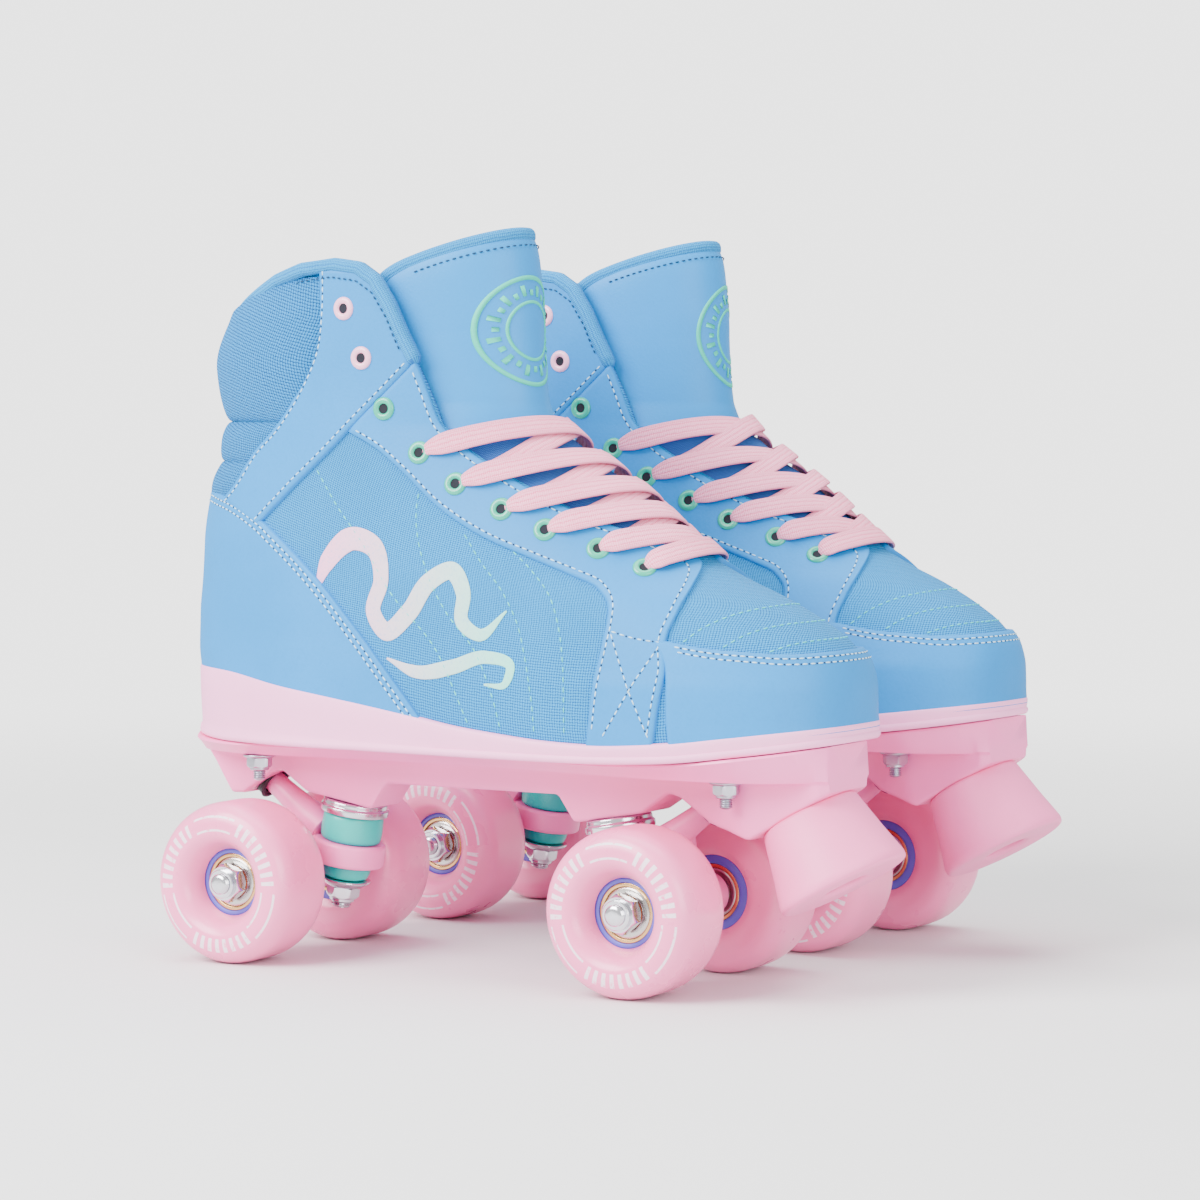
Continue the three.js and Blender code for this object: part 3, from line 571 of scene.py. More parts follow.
def woven(name, high, low, threads, bump=0.5, rough=0.85, sheen=0.04):
    """Woven cloth on a UV map in millimetres: thread tops over gaps darkened with painted shade."""
    material, n, bsdf = start_material(name, Sheen_Weight=sheen, Sheen_Roughness=0.5, Specular_IOR_Level=0.2)
    flat = n("UVMap", uv_map="UVMap").outputs[0]
    cloth = use(n, WEAVE, flat, Threads=threads)
    cloud = use(n, CLOUDY, n("TexCoord").outputs["Object"], Size=25.0)
    tone = n.mix(cloud.outputs["Slow"], shade(high, 0.95), shade(high, 1.05))
    # painted shade: the gaps between the threads take the darker second colour
    link(n, n.mix(n.math("MULTIPLY", cloth.outputs["Gap"], 0.95), tone, low), bsdf.inputs["Base Color"])
    roughen(n, bsdf, rough - 0.05, (cloth.outputs["Gap"], 0.1))
    raise_surface(n, bsdf, cloth.outputs["Height"], bump, 0.0006)
    return material


# %% The finishes of the skates
BLUE = srgb(2, 133, 205)
LEATHER = hide("blue_leather", BLUE, 0.5)
TONGUE_BLUE = srgb(2, 137, 209)
# each woven finish has its thread colour, then a darker colour that is painted shade in the gaps
CLOTH = woven("basket_cloth", srgb(3, 147, 212), srgb(2, 68, 134), 0.95)
KNIT = woven("collar_knit", srgb(2, 135, 204), srgb(2, 50, 110), 0.8, bump=0.8)
LINING = woven("lining_cloth", srgb(12, 96, 160), srgb(8, 60, 116), 1.6, bump=0.3)
TAPE = woven("binding_tape", srgb(20, 148, 210), srgb(6, 98, 168), 1.4, bump=0.5)
LACE = woven("flat_lace", srgb(252, 168, 196), srgb(236, 110, 148), 1.3, bump=0.5, sheen=0.1)
INSOLE = woven("insole_cloth", srgb(230, 130, 165), srgb(190, 90, 130), 1.2, bump=0.3)
THREAD = moulded("pale_thread", srgb(176, 214, 232), 0.7, drift=0.15, size=900.0)
TEAL_THREAD = moulded("mint_thread", srgb(60, 205, 200), 0.7, drift=0.15, size=900.0)
DARK_THREAD = moulded("dark_thread", srgb(10, 50, 84), 0.8, drift=0.2, size=900.0)
# painted shade: dark flat grains stand for the shade inside the needle holes
NEEDLE_HOLE_SHADE = moulded("needle_hole", srgb(30, 34, 60), 0.9, drift=0.2, size=900.0)
SOLE_PINK = moulded("outsole_foam", srgb(254, 164, 214), 0.5, drift=0.02, bump=0.05)
PLATE_PINK = moulded("plate_nylon", srgb(253, 128, 190), 0.38, drift=0.03, bump=0.04)
STOP_PINK = moulded("toe_stop_rubber", srgb(252, 128, 184), 0.5, drift=0.04, bump=0.08)
MINT = moulded("cushion_urethane", srgb(8, 186, 172), 0.3, drift=0.05)
HUB_BLUE = moulded("hub_nylon", srgb(92, 88, 196), 0.35, drift=0.04)
EYELET_PINK = moulded("pink_eyelet", srgb(250, 176, 206), 0.3, drift=0.04, Coat_Weight=0.4)
EYELET_MINT = moulded("mint_eyelet", srgb(16, 168, 136), 0.3, drift=0.04, Coat_Weight=0.4)
# painted shade: a dark cup stands for the shade inside each eyelet hole
EYELET_HOLE_SHADE = moulded("dark_hollow", srgb(22, 24, 34), 0.95, drift=0.3, size=200.0)
BLACK_RUBBER = moulded("pivot_rubber", srgb(30, 28, 30), 0.6, drift=0.1)
CHROME = plated("chrome_plate", srgb(214, 214, 220), 0.16)
ZINC = plated("zinc_plate", srgb(190, 190, 200), 0.3)
print(len(bpy.data.materials), "materials")

# %% [markdown]
# The urethane tyres carry a ring of white printed marks. They are drawn from the tyre's own UV
# map: u counts turns round the wheel and v is the distance from its axis, so arcs and dashes
# are bands of v switched on and off along u. The marks are plain arcs and bars.

# %% The printed tyre


def printed_tyre():
    material, n, bsdf = start_material("printed_urethane", Coat_Weight=0.25, Coat_Roughness=0.2)
    turn, reach = n("SeparateXYZ", {0: n("UVMap", uv_map="UVMap").outputs[0]}).outputs[:2]
    band = lambda low, high: n.math(
        "MULTIPLY", n.ramp(reach, low - 0.12, low + 0.12), n.ramp(reach, high + 0.12, high - 0.12)
    )
    third = n.math("FRACT", n.math("MULTIPLY", turn, 3.0))
    arc = n.math("MULTIPLY", n.ramp(third, 0.60, 0.605), n.ramp(third, 0.965, 0.96))
    inner = n.math("MULTIPLY", arc, n.math("ADD", band(20.4, 21.2), band(25.6, 26.4), clamp=True))
    tick = n.math("FRACT", n.math("MULTIPLY", turn, 42.0))
    bar = n.math("MULTIPLY", n.ramp(tick, 0.22, 0.3), n.ramp(tick, 0.78, 0.7))
    row = n.math("MULTIPLY", n.ramp(third, 0.58, 0.575), n.ramp(third, 0.02, 0.025))
    tall = n.math("MULTIPLY", n.math("MULTIPLY", bar, row), band(20.8, 26.0))
    print_ = n.math("ADD", inner, tall, clamp=True)
    cloud = use(n, CLOUDY, n("TexCoord").outputs["Object"], Size=40.0)
    worn = n.math("MULTIPLY", print_, n.ramp(cloud.outputs["Fine"], 0.25, 0.45))
    pink = srgb(252, 128, 180)
    base = n.mix(cloud.outputs["Slow"], shade(pink, 0.98), shade(pink, 1.03))
    link(n, n.mix(worn, base, srgb(245, 222, 236)), bsdf.inputs["Base Color"])
    roughen(n, bsdf, 0.26, (worn, 0.2), (cloud.outputs["Slow"], 0.06))
    raise_surface(n, bsdf, cloud.outputs["Fine"], 0.02, 0.001)
    return material


TYRE = printed_tyre()

# %% [markdown]
# # The upper
# The upper's cloth shell covers the whole boot up to its edge, and the leather panels are sewn
# on top of it. It is a grid over the boot's surface with a real wall, so the lining shows at
# the collar. Its UV map counts millimetres round and up the cloth, which keeps the weave even.

# %% The cloth shell


def lengths(points):
    """UVs of a grid: millimetres along each row from its middle, and up each column."""
    along = np.cumsum(np.linalg.norm(np.diff(points, axis=1, prepend=points[:, :1]), axis=-1), axis=1)
    up = np.cumsum(np.linalg.norm(np.diff(points, axis=0, prepend=points[:1]), axis=-1), axis=0)
    along = along - along[:, points.shape[1] // 2][:, None]
    return np.stack([along, up], -1)


t = np.linspace(0, 1, 70)[:, None]
shell_z = upper_low + (upper_top - upper_low) * t
shell = boot(phis[None, :], shell_z)
shell_uv = lengths(shell)
upper_shape = Shape().grid(shell, uv=shell_uv)
uppers = piece("upper_cloth", upper_shape, [CLOTH, LINING], nodes=["upper"], tidy=False)
for obj in uppers:
    wall = obj.modifiers.new("wall", "SOLIDIFY")
    wall.thickness, wall.offset, wall.material_offset, wall.material_offset_rim = 0.0036, -1, 1, 0

# %% [markdown]
# A leather panel is a patch of the boot's surface between two lines drawn in side view. It
# stands a millimetre and a half or more off the cloth, and its last rows of points drop below
# the cloth, which gives the cut edge that catches the light.

# %% Leather panels


def panel_steps(count, edge):
    """Places from 0 to 1 with doubled ends for the dropped edge, and their share of the height."""
    places = np.concatenate([[0, 0, edge], np.linspace(edge, 1 - edge, count)[1:-1], [1 - edge, 1, 1]])
    rise = np.concatenate([[-0.5, 0.55], np.ones(count), [0.55, -0.5]])
    return places, rise


def panel(shape, first, second, thick, rows, columns, grow=0.006):
    """A patch ruled between two lines of (phi, z) points, each sampled evenly along its length."""
    along, rise_along = panel_steps(columns, grow)
    across, rise_across = panel_steps(rows, 0.02)
    a, b = curve(first, at=along, straight=True), curve(second, at=along, straight=True)
    ruled = a[None] + (b - a)[None] * across[:, None, None]
    out = np.minimum(rise_along[None, :], rise_across[:, None]) * thick
    points = boot(ruled[..., 0], ruled[..., 1], out)
    shape.grid(points, uv=lengths(points))


def side_line(points, side=-1, dense=60):
    """A line drawn in side view as (x, z), as (phi, z) on one side of the boot."""
    smooth = np.asarray(points, float) if dense is None else curve(points, dense)
    return np.stack([side * phi_at(smooth[:, 0], smooth[:, 1]), smooth[:, 1]], -1)


def corner_line(*runs, dense=30):
    """Smooth runs that meet at sharp corners, as one line in side view."""
    return np.concatenate([curve(run, dense) for run in runs])


COUNTER_TOP = [
    [-122.4, 181.5], [-121.3, 180.7], [-113, 179.5], [-97, 176], [-82, 170], [-66, 160], [-48, 146],
    [-30, 129], [-12, 110.5], [3, 94]
]


def across_columns(edge, phi):
    """A side-view edge as heights over given places round the outline, the same on both sides."""
    line = curve(edge, 160)
    at = phi_at(line[:, 0], line[:, 1])
    order = np.argsort(at)
    return np.interp(np.abs(phi), at[order], line[order, 1])


def skirt(name, edge, phi_from, phi_to, thick, material, columns=150, rows=26):
    """A panel that wraps an end of the boot, from the sole up to an edge drawn in side view."""
    places, rise_along = panel_steps(columns, 0.004)
    phi = phi_from + (phi_to - phi_from) * places
    top = across_columns(edge, np.where(np.abs(phi) > np.pi, 2 * np.pi - np.abs(phi), phi))
    low = height_of_edge(phi, lambda x: sole_high(x) - 3, 80, 118)
    across, rise_across = panel_steps(rows, 0.012)
    z = low + (np.maximum(top, low + 0.5) - low) * across[:, None]
    points = boot(phi[None, :], z, np.minimum(rise_along[None, :], rise_across[:, None]) * thick)
    return piece(name, Shape().grid(points, uv=lengths(points)), material)


end = phi_at(2.0, 95.0)
skirt("heel_counter", COUNTER_TOP, -end, end, 1.7, LEATHER)
TOE_TOP = [[99.5, 128.6], [106, 127.4], [115, 126], [126, 125], [139, 124], [149.5, 124.4], [152.6, 124.6]]
start = phi_at(99.5, 122.0)
skirt("toe_cap", TOE_TOP, start, 2 * np.pi - start, 1.9, LEATHER)

# %% [markdown]
# The collar strap runs from the heel counter over the ankle to the top of the boot, where it
# carries the two upper eyelets. The eyestay runs from there down the throat, turns at the vamp
# and goes on as a vertical strip to the sole. Both sides of the boot have them.

# %% Strap and eyestay
STRAP_BACK = [
    [-104, 177], [-99, 180.5], [-85, 195.5], [-73, 205], [-61, 219.5], [-53.5, 234], [-51.5, 248],
    [-51.2, 264]
]
STRAP_FRONT = ([[-82, 167], [-64, 181.5], [-46, 196], [-35, 206], [-24, 216], [-12.4, 227.4]],
               [[-12.4, 228.5], [-16, 238], [-21, 249.5], [-27, 258.8], [-34, 263.4]])
EYESTAY_OUTER = ([[-38, 203], [-25, 196.5], [-14, 188.5], [3, 175], [21, 165], [42, 157], [60, 150.6]],
                 [[60, 150.6], [70, 146.5], [75.5, 141], [76.5, 134], [76, 128], [73.5, 110], [71, 88]])
EYESTAY_INNER = (
    [[-10.5, 229.5], [-6, 218.5], [0, 205.4], [10, 197], [26, 187.4], [57, 172.4], [80, 164], [92, 158.6]],
    [[92, 158.6], [98, 154], [101, 147], [101, 139], [99.5, 130], [101, 118], [99, 104], [97, 90]],
)


def panels_both_sides(name, first, second, thick, **options):
    shape = Shape()
    for side in (-1, 1):
        panel(shape, side_line(first, side, None), side_line(second, side, None), thick, **options)
    return piece(name, shape, LEATHER)


panels_both_sides(
    "eyestay", corner_line(*EYESTAY_OUTER), corner_line(*EYESTAY_INNER), 1.6, rows=22, columns=120
)
panels_both_sides(
    "collar_strap", corner_line(STRAP_BACK, dense=60), corner_line(*STRAP_FRONT), 1.9, rows=22,
    columns=80
)

# %% [markdown]
# # Padded collar
# Behind the ankle a knitted pad fills the gap between the two collar straps. It is stuffed with
# foam and sewn across twice, so it swells into one large and two small rolls. The swelling is
# the square root of a sine between the seams, which is how a stuffed tube of cloth bulges.

# %% The collar pad
PAD_SEAMS = np.array([176.0, 191.0, 206.5, 262.0])
PAD_SWELL = np.array([1.8, 3.4, 6.2])


def pad_swell(z):
    """Height of the stuffing between the seams: the square root of a sine, by its own roll."""
    roll = np.clip(np.searchsorted(PAD_SEAMS, z, side="right") - 1, 0, 2)
    share = (z - PAD_SEAMS[roll]) / (PAD_SEAMS[roll + 1] - PAD_SEAMS[roll])
    return PAD_SWELL[roll] * np.sqrt(np.maximum(0, np.sin(np.pi * np.clip(share, 0, 1))))


def collar_pad():
    edge = curve(STRAP_BACK, 80)
    z = np.concatenate([np.linspace(PAD_SEAMS[0], 206.5, 56), np.linspace(206.9, 261, 60)])[:, None]
    reach = np.interp(z, edge[:, 1], phi_at(edge[:, 0], edge[:, 1])) + 0.05
    s = np.linspace(-1, 1, 81)[None, :]
    phi = s * reach
    z = np.minimum(z, height_of_edge(phi, throat_edge, 120, 275) - 0.3) + 0 * phi
    across = np.sqrt(np.maximum(0, 1 - np.abs(s) ** 5))
    points = boot(phi, z, 0.3 + pad_swell(z) * across)
    wall = boot(phi, z, -1.0)
    return Shape().grid(points, uv=lengths(points)), points, wall


pad_shape, pad_face, pad_wall = collar_pad()
pad_shape.grid(pad_wall, flip=True)
for edge_a, edge_b in (
    (pad_face[0], pad_wall[0]), (pad_face[-1], pad_wall[-1]), (pad_face[:, 0], pad_wall[:, 0]),
    (pad_face[:, -1], pad_wall[:, -1])
):
    pad_shape.grid(np.stack([edge_a, edge_b]))
for obj in piece("collar_pad", pad_shape, KNIT):
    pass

# %% [markdown]
# # Tongue
# The tongue is a padded sheet that wraps round the front of the shin, inside the throat. It is
# two layers of the same grid, pushed apart by the padding and closed where they meet at the
# edges. Its lower half is plain cloth under the laces and its upper half is leather.

# %% The padded tongue
TONGUE_TOP, TONGUE_CROWN = 266.5, 11.0


def tongue_grid(rows=90, columns=80, low=150.0):
    """phi and z of the tongue: it reaches further back as it rises, and its top edge is crowned."""
    t = np.linspace(0, 1, rows)[:, None]
    s = np.linspace(-1, 1, columns)[None, :]
    level = low + (TONGUE_TOP - low) * t
    half = np.interp(
        level, [150, 165, 178, 190, 205, 225, 250, 266], [0.75, 0.95, 1.1, 1.2, 1.32, 1.42, 1.5, 1.46]
    )
    corner = 1 - 0.17 * np.clip((level - 252) / 14.5, 0, 1) ** 3
    phi = np.pi - s * half * corner
    crown = TONGUE_CROWN * (1 - np.abs(s) ** 2.2) * np.clip((level - 225) / 41.5, 0, 1) ** 2
    return phi, level + crown, s, t


def tongue_point(phi, z, out):
    """The tongue's middle layer runs inside the upper, deeper above the laces than under them."""
    depth = np.interp(z, [150, 185, 200, 214, 240, 280], [-5.2, -5.2, -5.6, -8.4, -9.0, -8.2])
    return boot(phi, z, depth + out)


phi, z, s, t = tongue_grid()
thick = 3.7 * (np.maximum(0, 1 - np.abs(s) ** 6) * np.maximum(0, 1 - np.abs(2 * t - 1) ** 14)) ** 0.5
ribs = 0.35 * np.sin((z - 150) / 2.4) * np.clip((206 - z) / 6, 0, 1)
outer_face, inner_face = tongue_point(phi, z, thick + ribs), tongue_point(phi, z, -thick)
tongue_shape = Shape().grid(outer_face, uv=lengths(outer_face)).grid(
    inner_face, uv=lengths(inner_face), flip=True
)


def tongue_finish():
    """Leather above the laces and woven cloth below them, switched by height on the piece."""
    material, n, bsdf = start_material("tongue_finish", Sheen_Weight=0.02, Specular_IOR_Level=0.22)
    place = n("TexCoord").outputs["Object"]
    height = n("SeparateXYZ", {0: place}).outputs[2]
    upper_part = n.ramp(height, 0.2035, 0.2045)
    grain, cloud = use(n, GRAIN, place, Size=1000.0), use(n, CLOUDY, place, Size=18.0)
    cloth = use(n, WEAVE, n("UVMap", uv_map="UVMap").outputs[0], Threads=1.2)
    skin = n.mix(cloud.outputs["Slow"], shade(TONGUE_BLUE, 0.96), shade(TONGUE_BLUE, 1.04))
    # painted shade: the gaps of the lower cloth's weave take the darker blue
    web = n.mix(cloth.outputs["Gap"], srgb(52, 104, 176), srgb(20, 52, 112))
    link(n, n.mix(upper_part, web, skin), bsdf.inputs["Base Color"])
    link(n, n.math("SUBTRACT", 0.86, n.math("MULTIPLY", upper_part, 0.42)), bsdf.inputs["Roughness"])
    raised = n(
        "Mix",
        {0: upper_part, 2: n.math("MULTIPLY", cloth.outputs["Height"], 4.0), 3: grain.outputs["Height"]},
        data_type="FLOAT"
    ).outputs[0]
    raise_surface(n, bsdf, raised, 0.12, 0.0006)
    return material


for obj in piece("tongue", tongue_shape, tongue_finish(), nodes=["tongue"]):
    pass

# %% [markdown]
# # Bindings
# The raw edges of the collar, the ankle and the tongue are wrapped in a woven tape. The tape is
# a flattened tube carried along the edge: at each point the cross-section is an oval across the
# line, turned to stand in the wall.

# %% Tubes along a line


def frames_along(path, facing):
    """Unit vectors along a path, out of the surface, and across it."""
    along = unit(np.gradient(path, axis=0))
    out = unit(facing - along * np.sum(facing * along, -1, keepdims=True))
    return along, out, np.cross(along, out)


def tube(path, facing, wide, deep, sides=12, squareness=2.0):
    """An oval tube carried along a path: wide across the surface, deep out of it, closed ends."""
    along, out, across = frames_along(path, facing)
    angle = np.linspace(0, 2 * np.pi, sides, endpoint=False)
    c, s = np.cos(angle), np.sin(angle)
    oval_c = np.sign(c) * np.abs(c) ** (2 / squareness)
    oval_s = np.sign(s) * np.abs(s) ** (2 / squareness)
    wide, deep = (np.broadcast_to(np.asarray(v, float), len(path))[:, None, None] for v in (wide, deep))
    sideways = across[:, None] * oval_c[:, None] * wide / 2
    ring = path[:, None] + sideways + out[:, None] * oval_s[:, None] * deep / 2
    place = np.concatenate([[0], np.cumsum(np.linalg.norm(np.diff(path, axis=0), axis=1))])
    turn = np.linspace(0, 1, sides, endpoint=False) * np.mean(wide) * 2.2
    uv = np.stack(np.broadcast_arrays(place[:, None], turn[None, :]), -1)
    for end, way in ((0, -1), (-1, 1)):
        middle_point = ring[end].mean(0)
        closing = middle_point + (ring[end] - middle_point) * 0.55
        closing = closing + along[end] * way * np.min(deep[end]) * 0.3
        extra = [closing, np.broadcast_to(closing.mean(0), closing.shape)]
        rows = [e[None] for e in (extra if way > 0 else extra[::-1])]
        ring = np.concatenate([ring, *rows] if way > 0 else [*rows, ring])
        pad = [uv[end][None]] * 2
        uv = np.concatenate([uv, *pad] if way > 0 else [*pad, uv])
    return ring, uv


def surface_normal(phi, z):
    return unit(boot(phi, z, 1.0) - boot(phi, z, 0.0))


def edge_tape(phi_from, phi_to, count=160):
    """The upper's own top edge as a line, with the direction out of the wall at each point."""
    phi = np.linspace(phi_from, phi_to, count)
    z = height_of_edge(phi, throat_edge, 120, 275)
    return boot(phi, z, -0.6), surface_normal(phi, z - 1.0), phi, z


# %% Collar and tongue bindings
ankle_corner = phi_at(-11.5, 229.5)
line, normal, tape_phi, tape_z = edge_tape(-ankle_corner, ankle_corner, 220)
pad_here = np.interp(np.abs(tape_phi), [0, phi_at(-60, 262), phi_at(-50, 264)], [1.6, 1.6, 0.0])
line = line + normal * pad_here[:, None]
ring, uv = tube(line, normal, 5.4, 6.6, 14, 2.8)
binding = Shape().grid(ring, wrap_columns=True, uv=uv)
piece("collar_binding", binding, TAPE)

# the tape starts at this row of the tongue's grid, a little above the laces
BOUND_FROM = 52
side_phi, side_z = tongue_grid()[:2]
rim_phi, rim_z = side_phi[-1], side_z[-1]
free = slice(BOUND_FROM, -1)
rim_phi = np.concatenate([side_phi[free, 0], rim_phi, side_phi[free, -1][::-1]])
rim_z = np.concatenate([side_z[free, 0], rim_z, side_z[free, -1][::-1]])
rim = curve(tongue_point(rim_phi, rim_z, 0.0), 200, straight=True)
rim_out = curve(surface_normal(rim_phi, rim_z), 200, straight=True)
ring, uv = tube(rim, rim_out, 5.4, 4.6, 14, 2.4)
piece("tongue_binding", Shape().grid(ring, wrap_columns=True, uv=uv), TAPE)

# %% [markdown]
# # Stitching
# A row of machine stitches is a line of short fat grains of thread, each dipping into a needle hole at both
# ends, and each hole is a small flat dark grain of painted shade. One small grain with few faces is copied
# along every seam as whole arrays: its points are turned by the seam's own directions and moved to each
# place.

# %% Copies of a small template along a line


def grain_template(length, thick, rings=5, sides=6):
    """A closed grain: rings whose size follows the square root of a parabola along it."""
    u = np.linspace(-1, 1, rings)[:, None]
    a = np.linspace(0, 2 * np.pi, sides, endpoint=False)[None, :]
    size = np.sqrt(np.maximum(0, 1 - u**4)) * thick / 2
    return np.stack(np.broadcast_arrays(u * length / 2, np.cos(a) * size, np.sin(a) * size), -1)


def copies(template, places, along, across, out, shape):
    """Lays a template (rings x sides x 3) at every place, in that place's directions."""
    rings, sides = template.shape[:2]
    points = places[:, None, None] + template[None, ..., 0:1] * along[:, None, None]
    points = points + template[None, ..., 1:2] * across[:, None, None]
    points = points + template[None, ..., 2:3] * out[:, None, None]
    faces = grid_faces(rings, sides, wrap_columns=True)
    all_faces = faces[None] + (np.arange(len(places)) * rings * sides)[:, None, None]
    shape.add(points.reshape(-1, 3), all_faces.reshape(-1, 4))


THREADS, HOLE_SHADE_GRAINS, MINT_THREADS, DARK_THREADS = Shape(), Shape(), Shape(), Shape()


def seam(phi_z, lift, pitch=3.0, length=2.25, thick=0.58, into=THREADS, holes=True, place=boot):
    """A row of stitches over a line of (phi, z), lift mm above the boot."""
    fine = curve(phi_z, 400, straight=True)
    on = place(fine[:, 0], fine[:, 1], np.full(400, lift))
    total = np.linalg.norm(np.diff(on, axis=0), axis=1).sum()
    count = max(2, int(total / pitch))
    at = (np.arange(count) + 0.5) / count
    spots = curve(on, at=at, straight=True)
    facing = curve(place(fine[:, 0], fine[:, 1], np.full(400, lift + 1.0)), at=at, straight=True) - spots
    along, out, across = frames_along(spots, facing)
    copies(grain_template(length, thick), spots, along, across, out, into)
    # the dark hole grains between the stitches are painted shade
    if holes:
        between = curve(on, at=(at[1:] + at[:-1]) / 2, straight=True) + out[1:] * 0.08
        copies(grain_template(0.85, 0.7, 4, 6) * (1, 1, 0.3), between, along[1:], across[1:], out[1:], HOLE_SHADE_GRAINS)


def inset(line, amount):
    """A side-view line moved sideways by some millimetres, to its left as it runs."""
    line = curve(line, 120)
    step = np.gradient(line, axis=0)
    left = unit(np.stack([-step[:, 1], step[:, 0]], -1))
    return line + left * amount


def both_sides(line, lift, **options):
    for side in (-1, 1):
        seam(np.stack([side * phi_at(line[:, 0], line[:, 1]), line[:, 1]], -1), lift, **options)


# %% Seams of the leather panels
for gap in (2.2, 4.4):
    both_sides(inset(COUNTER_TOP[2:], -gap), 1.75)
for gap in (2.2, 4.4):
    edge_phi = np.linspace(-phi_at(-113, 178), phi_at(-113, 178), 60)
    seam(np.stack([edge_phi, across_columns(COUNTER_TOP, edge_phi) - gap], -1), 1.75)
for gap in (1.8, 3.6):
    toe_phi = np.linspace(phi_at(101.5, 128), 2 * np.pi - phi_at(101.5, 128), 200)
    folded = np.where(toe_phi > np.pi, 2 * np.pi - toe_phi, toe_phi)
    seam(np.stack([toe_phi, across_columns(TOE_TOP, folded) - gap], -1), 1.95, pitch=3.0, length=2.3)
both_sides(inset(STRAP_FRONT[0], 2.2), 1.95)
both_sides(inset(STRAP_BACK, -2.0), 1.95)
both_sides(inset(EYESTAY_OUTER[0], 2.0)[3:], 1.65)
both_sides(inset(EYESTAY_OUTER[1], 2.0)[:-14], 1.65)
both_sides(inset(EYESTAY_INNER[0], -2.4)[3:], 1.65)
both_sides(inset(EYESTAY_INNER[1], -2.4)[:-8], 1.65)
both_sides(curve([[78.5, 131.6], [88, 129.2], [98.5, 127.8]], 50), 1.65)
both_sides(curve([[79, 131], [96, 94]], 60, straight=True), 1.65)
both_sides(curve([[98, 127], [78, 94]], 60, straight=True), 1.65)

# %% Quilting on the cloth, and the seams of the bindings
QUILTING = (
    [[-53, 189], [-42, 175], [-29, 161], [-16, 144], [6, 123], [21, 96]],
    [[-6, 181], [-6.5, 174], [-5, 164], [1, 150], [9, 138], [24, 122], [31, 108], [35, 95]],
    [[14, 166], [22, 156], [34, 144], [41, 133], [45, 121], [48, 108], [49.5, 94]],
    [[34, 160], [44, 152], [53, 143], [58, 132], [61, 118], [62, 94]],
)
for line in QUILTING:
    both_sides(curve(line, 120), 0.1, pitch=3.6, length=2.4, thick=0.55, into=MINT_THREADS, holes=False)
VAMP_ARCS = (
    [[105, 128], [111, 133.5], [120, 138.5], [129, 141.2]],
    [[119, 126.5], [126, 131.5], [135, 134.6], [141, 135.2]],
    [[134, 125.2], [141, 128], [147, 129], [150, 128.6]],
)
for line in VAMP_ARCS:
    both_sides(curve(line, 80), 0.1, pitch=3.2, length=2.2, thick=0.55, into=MINT_THREADS, holes=False)
seam(
    np.stack([tape_phi, tape_z - 4.6], -1)[4:-4], 2.3, into=DARK_THREADS, holes=False, pitch=2.6,
    length=1.7, thick=0.6
)
tongue_row = np.stack([rim_phi, rim_z - 4.2], -1)[37:-37]
seam(tongue_row, 3.1, into=DARK_THREADS, holes=False, pitch=2.6, length=1.7, thick=0.6, place=tongue_point)
piece("seam_threads", THREADS, THREAD, tidy=False)
piece("needle_holes", HOLE_SHADE_GRAINS, NEEDLE_HOLE_SHADE, tidy=False)
piece("quilting_threads", MINT_THREADS, TEAL_THREAD, tidy=False)
piece("binding_threads", DARK_THREADS, DARK_THREAD, tidy=False)

# %% [markdown]
# # Eyelets
# An eyelet is a turned metal ring with a rolled rim, sunk into the leather. Its section is a closed loop
# carried round the hole, and a dark cup of painted shade closes the hole behind it.

# %% Eyelets along the throat
EYELETS = np.array(
    [
        [-39.5, 249], [-32, 230.5], [-22.5, 211.5], [-7, 195], [9, 183.6], [28, 174.4], [45.5, 167],
        [65.5, 160.2], [83, 153.2]
    ]
)
LACED_FROM = 3


def spin(profile, centre, axis, side, sides=32):
    """A section of (radius, height) points carried round an axis, one ring of points for each."""
    profile = np.asarray(profile, float)
    other = np.cross(axis, side)
    a = np.linspace(0, 2 * np.pi, sides, endpoint=False)
    round_ = np.cos(a)[None, :, None] * side + np.sin(a)[None, :, None] * other
    return centre + profile[:, 0, None, None] * round_ + profile[:, 1, None, None] * axis


RIM = [
    [1.8, -2.6], [1.8, 0.1], [2.0, 0.6], [2.5, 0.95], [3.3, 1.0], [4.0, 0.75], [4.4, 0.25], [4.4, -0.4],
    [2.5, -0.6], [2.5, -2.6]
]
# the cup is a dark disc of painted shade filling the hole
CUP = [[0.0, 0.22], [1.5, 0.24], [2.15, 0.3], [2.3, 0.0], [2.15, -0.5], [0.0, -0.5]]
pink, mint, cups = Shape(), Shape(), Shape()
for row, (x, z) in enumerate(EYELETS):
    for side in (-1, 1):
        phi = side * phi_at(x, z)
        out = surface_normal(phi, z)
        base = boot(phi, z, 1.9 if row < 2 else 1.6)
        ahead = unit(np.cross(out, (0, 1.0, 0)))
        (pink if row < 2 else mint).grid(spin(RIM, base, out, ahead), wrap_rows=True, wrap_columns=True)
        cups.grid(spin(CUP, base, out, ahead, 16), wrap_columns=True)
piece("pink_eyelets", pink, EYELET_PINK)
piece("mint_eyelets", mint, EYELET_MINT)
piece("eyelet_hollows", cups, EYELET_HOLE_SHADE)

# %% [markdown]
# # Laces
# The lace is one flat woven band that leaves an eyelet, crosses the tongue and dives under the
# other side. A crossing runs round the front of the boot from one eyelet to the next one down,
# rising a little in the middle. A table says how far it stands off the boot on the way: up out
# of the hole, over the leather, down on to the tongue and under the far edge. The band narrows
# where it is squeezed through the eyelet.

# %% Strands between the eyelets
RISE = np.array([[150, 5.0], [160, 8.0], [175, 12.0], [185, 13.5], [200, 15.0]])
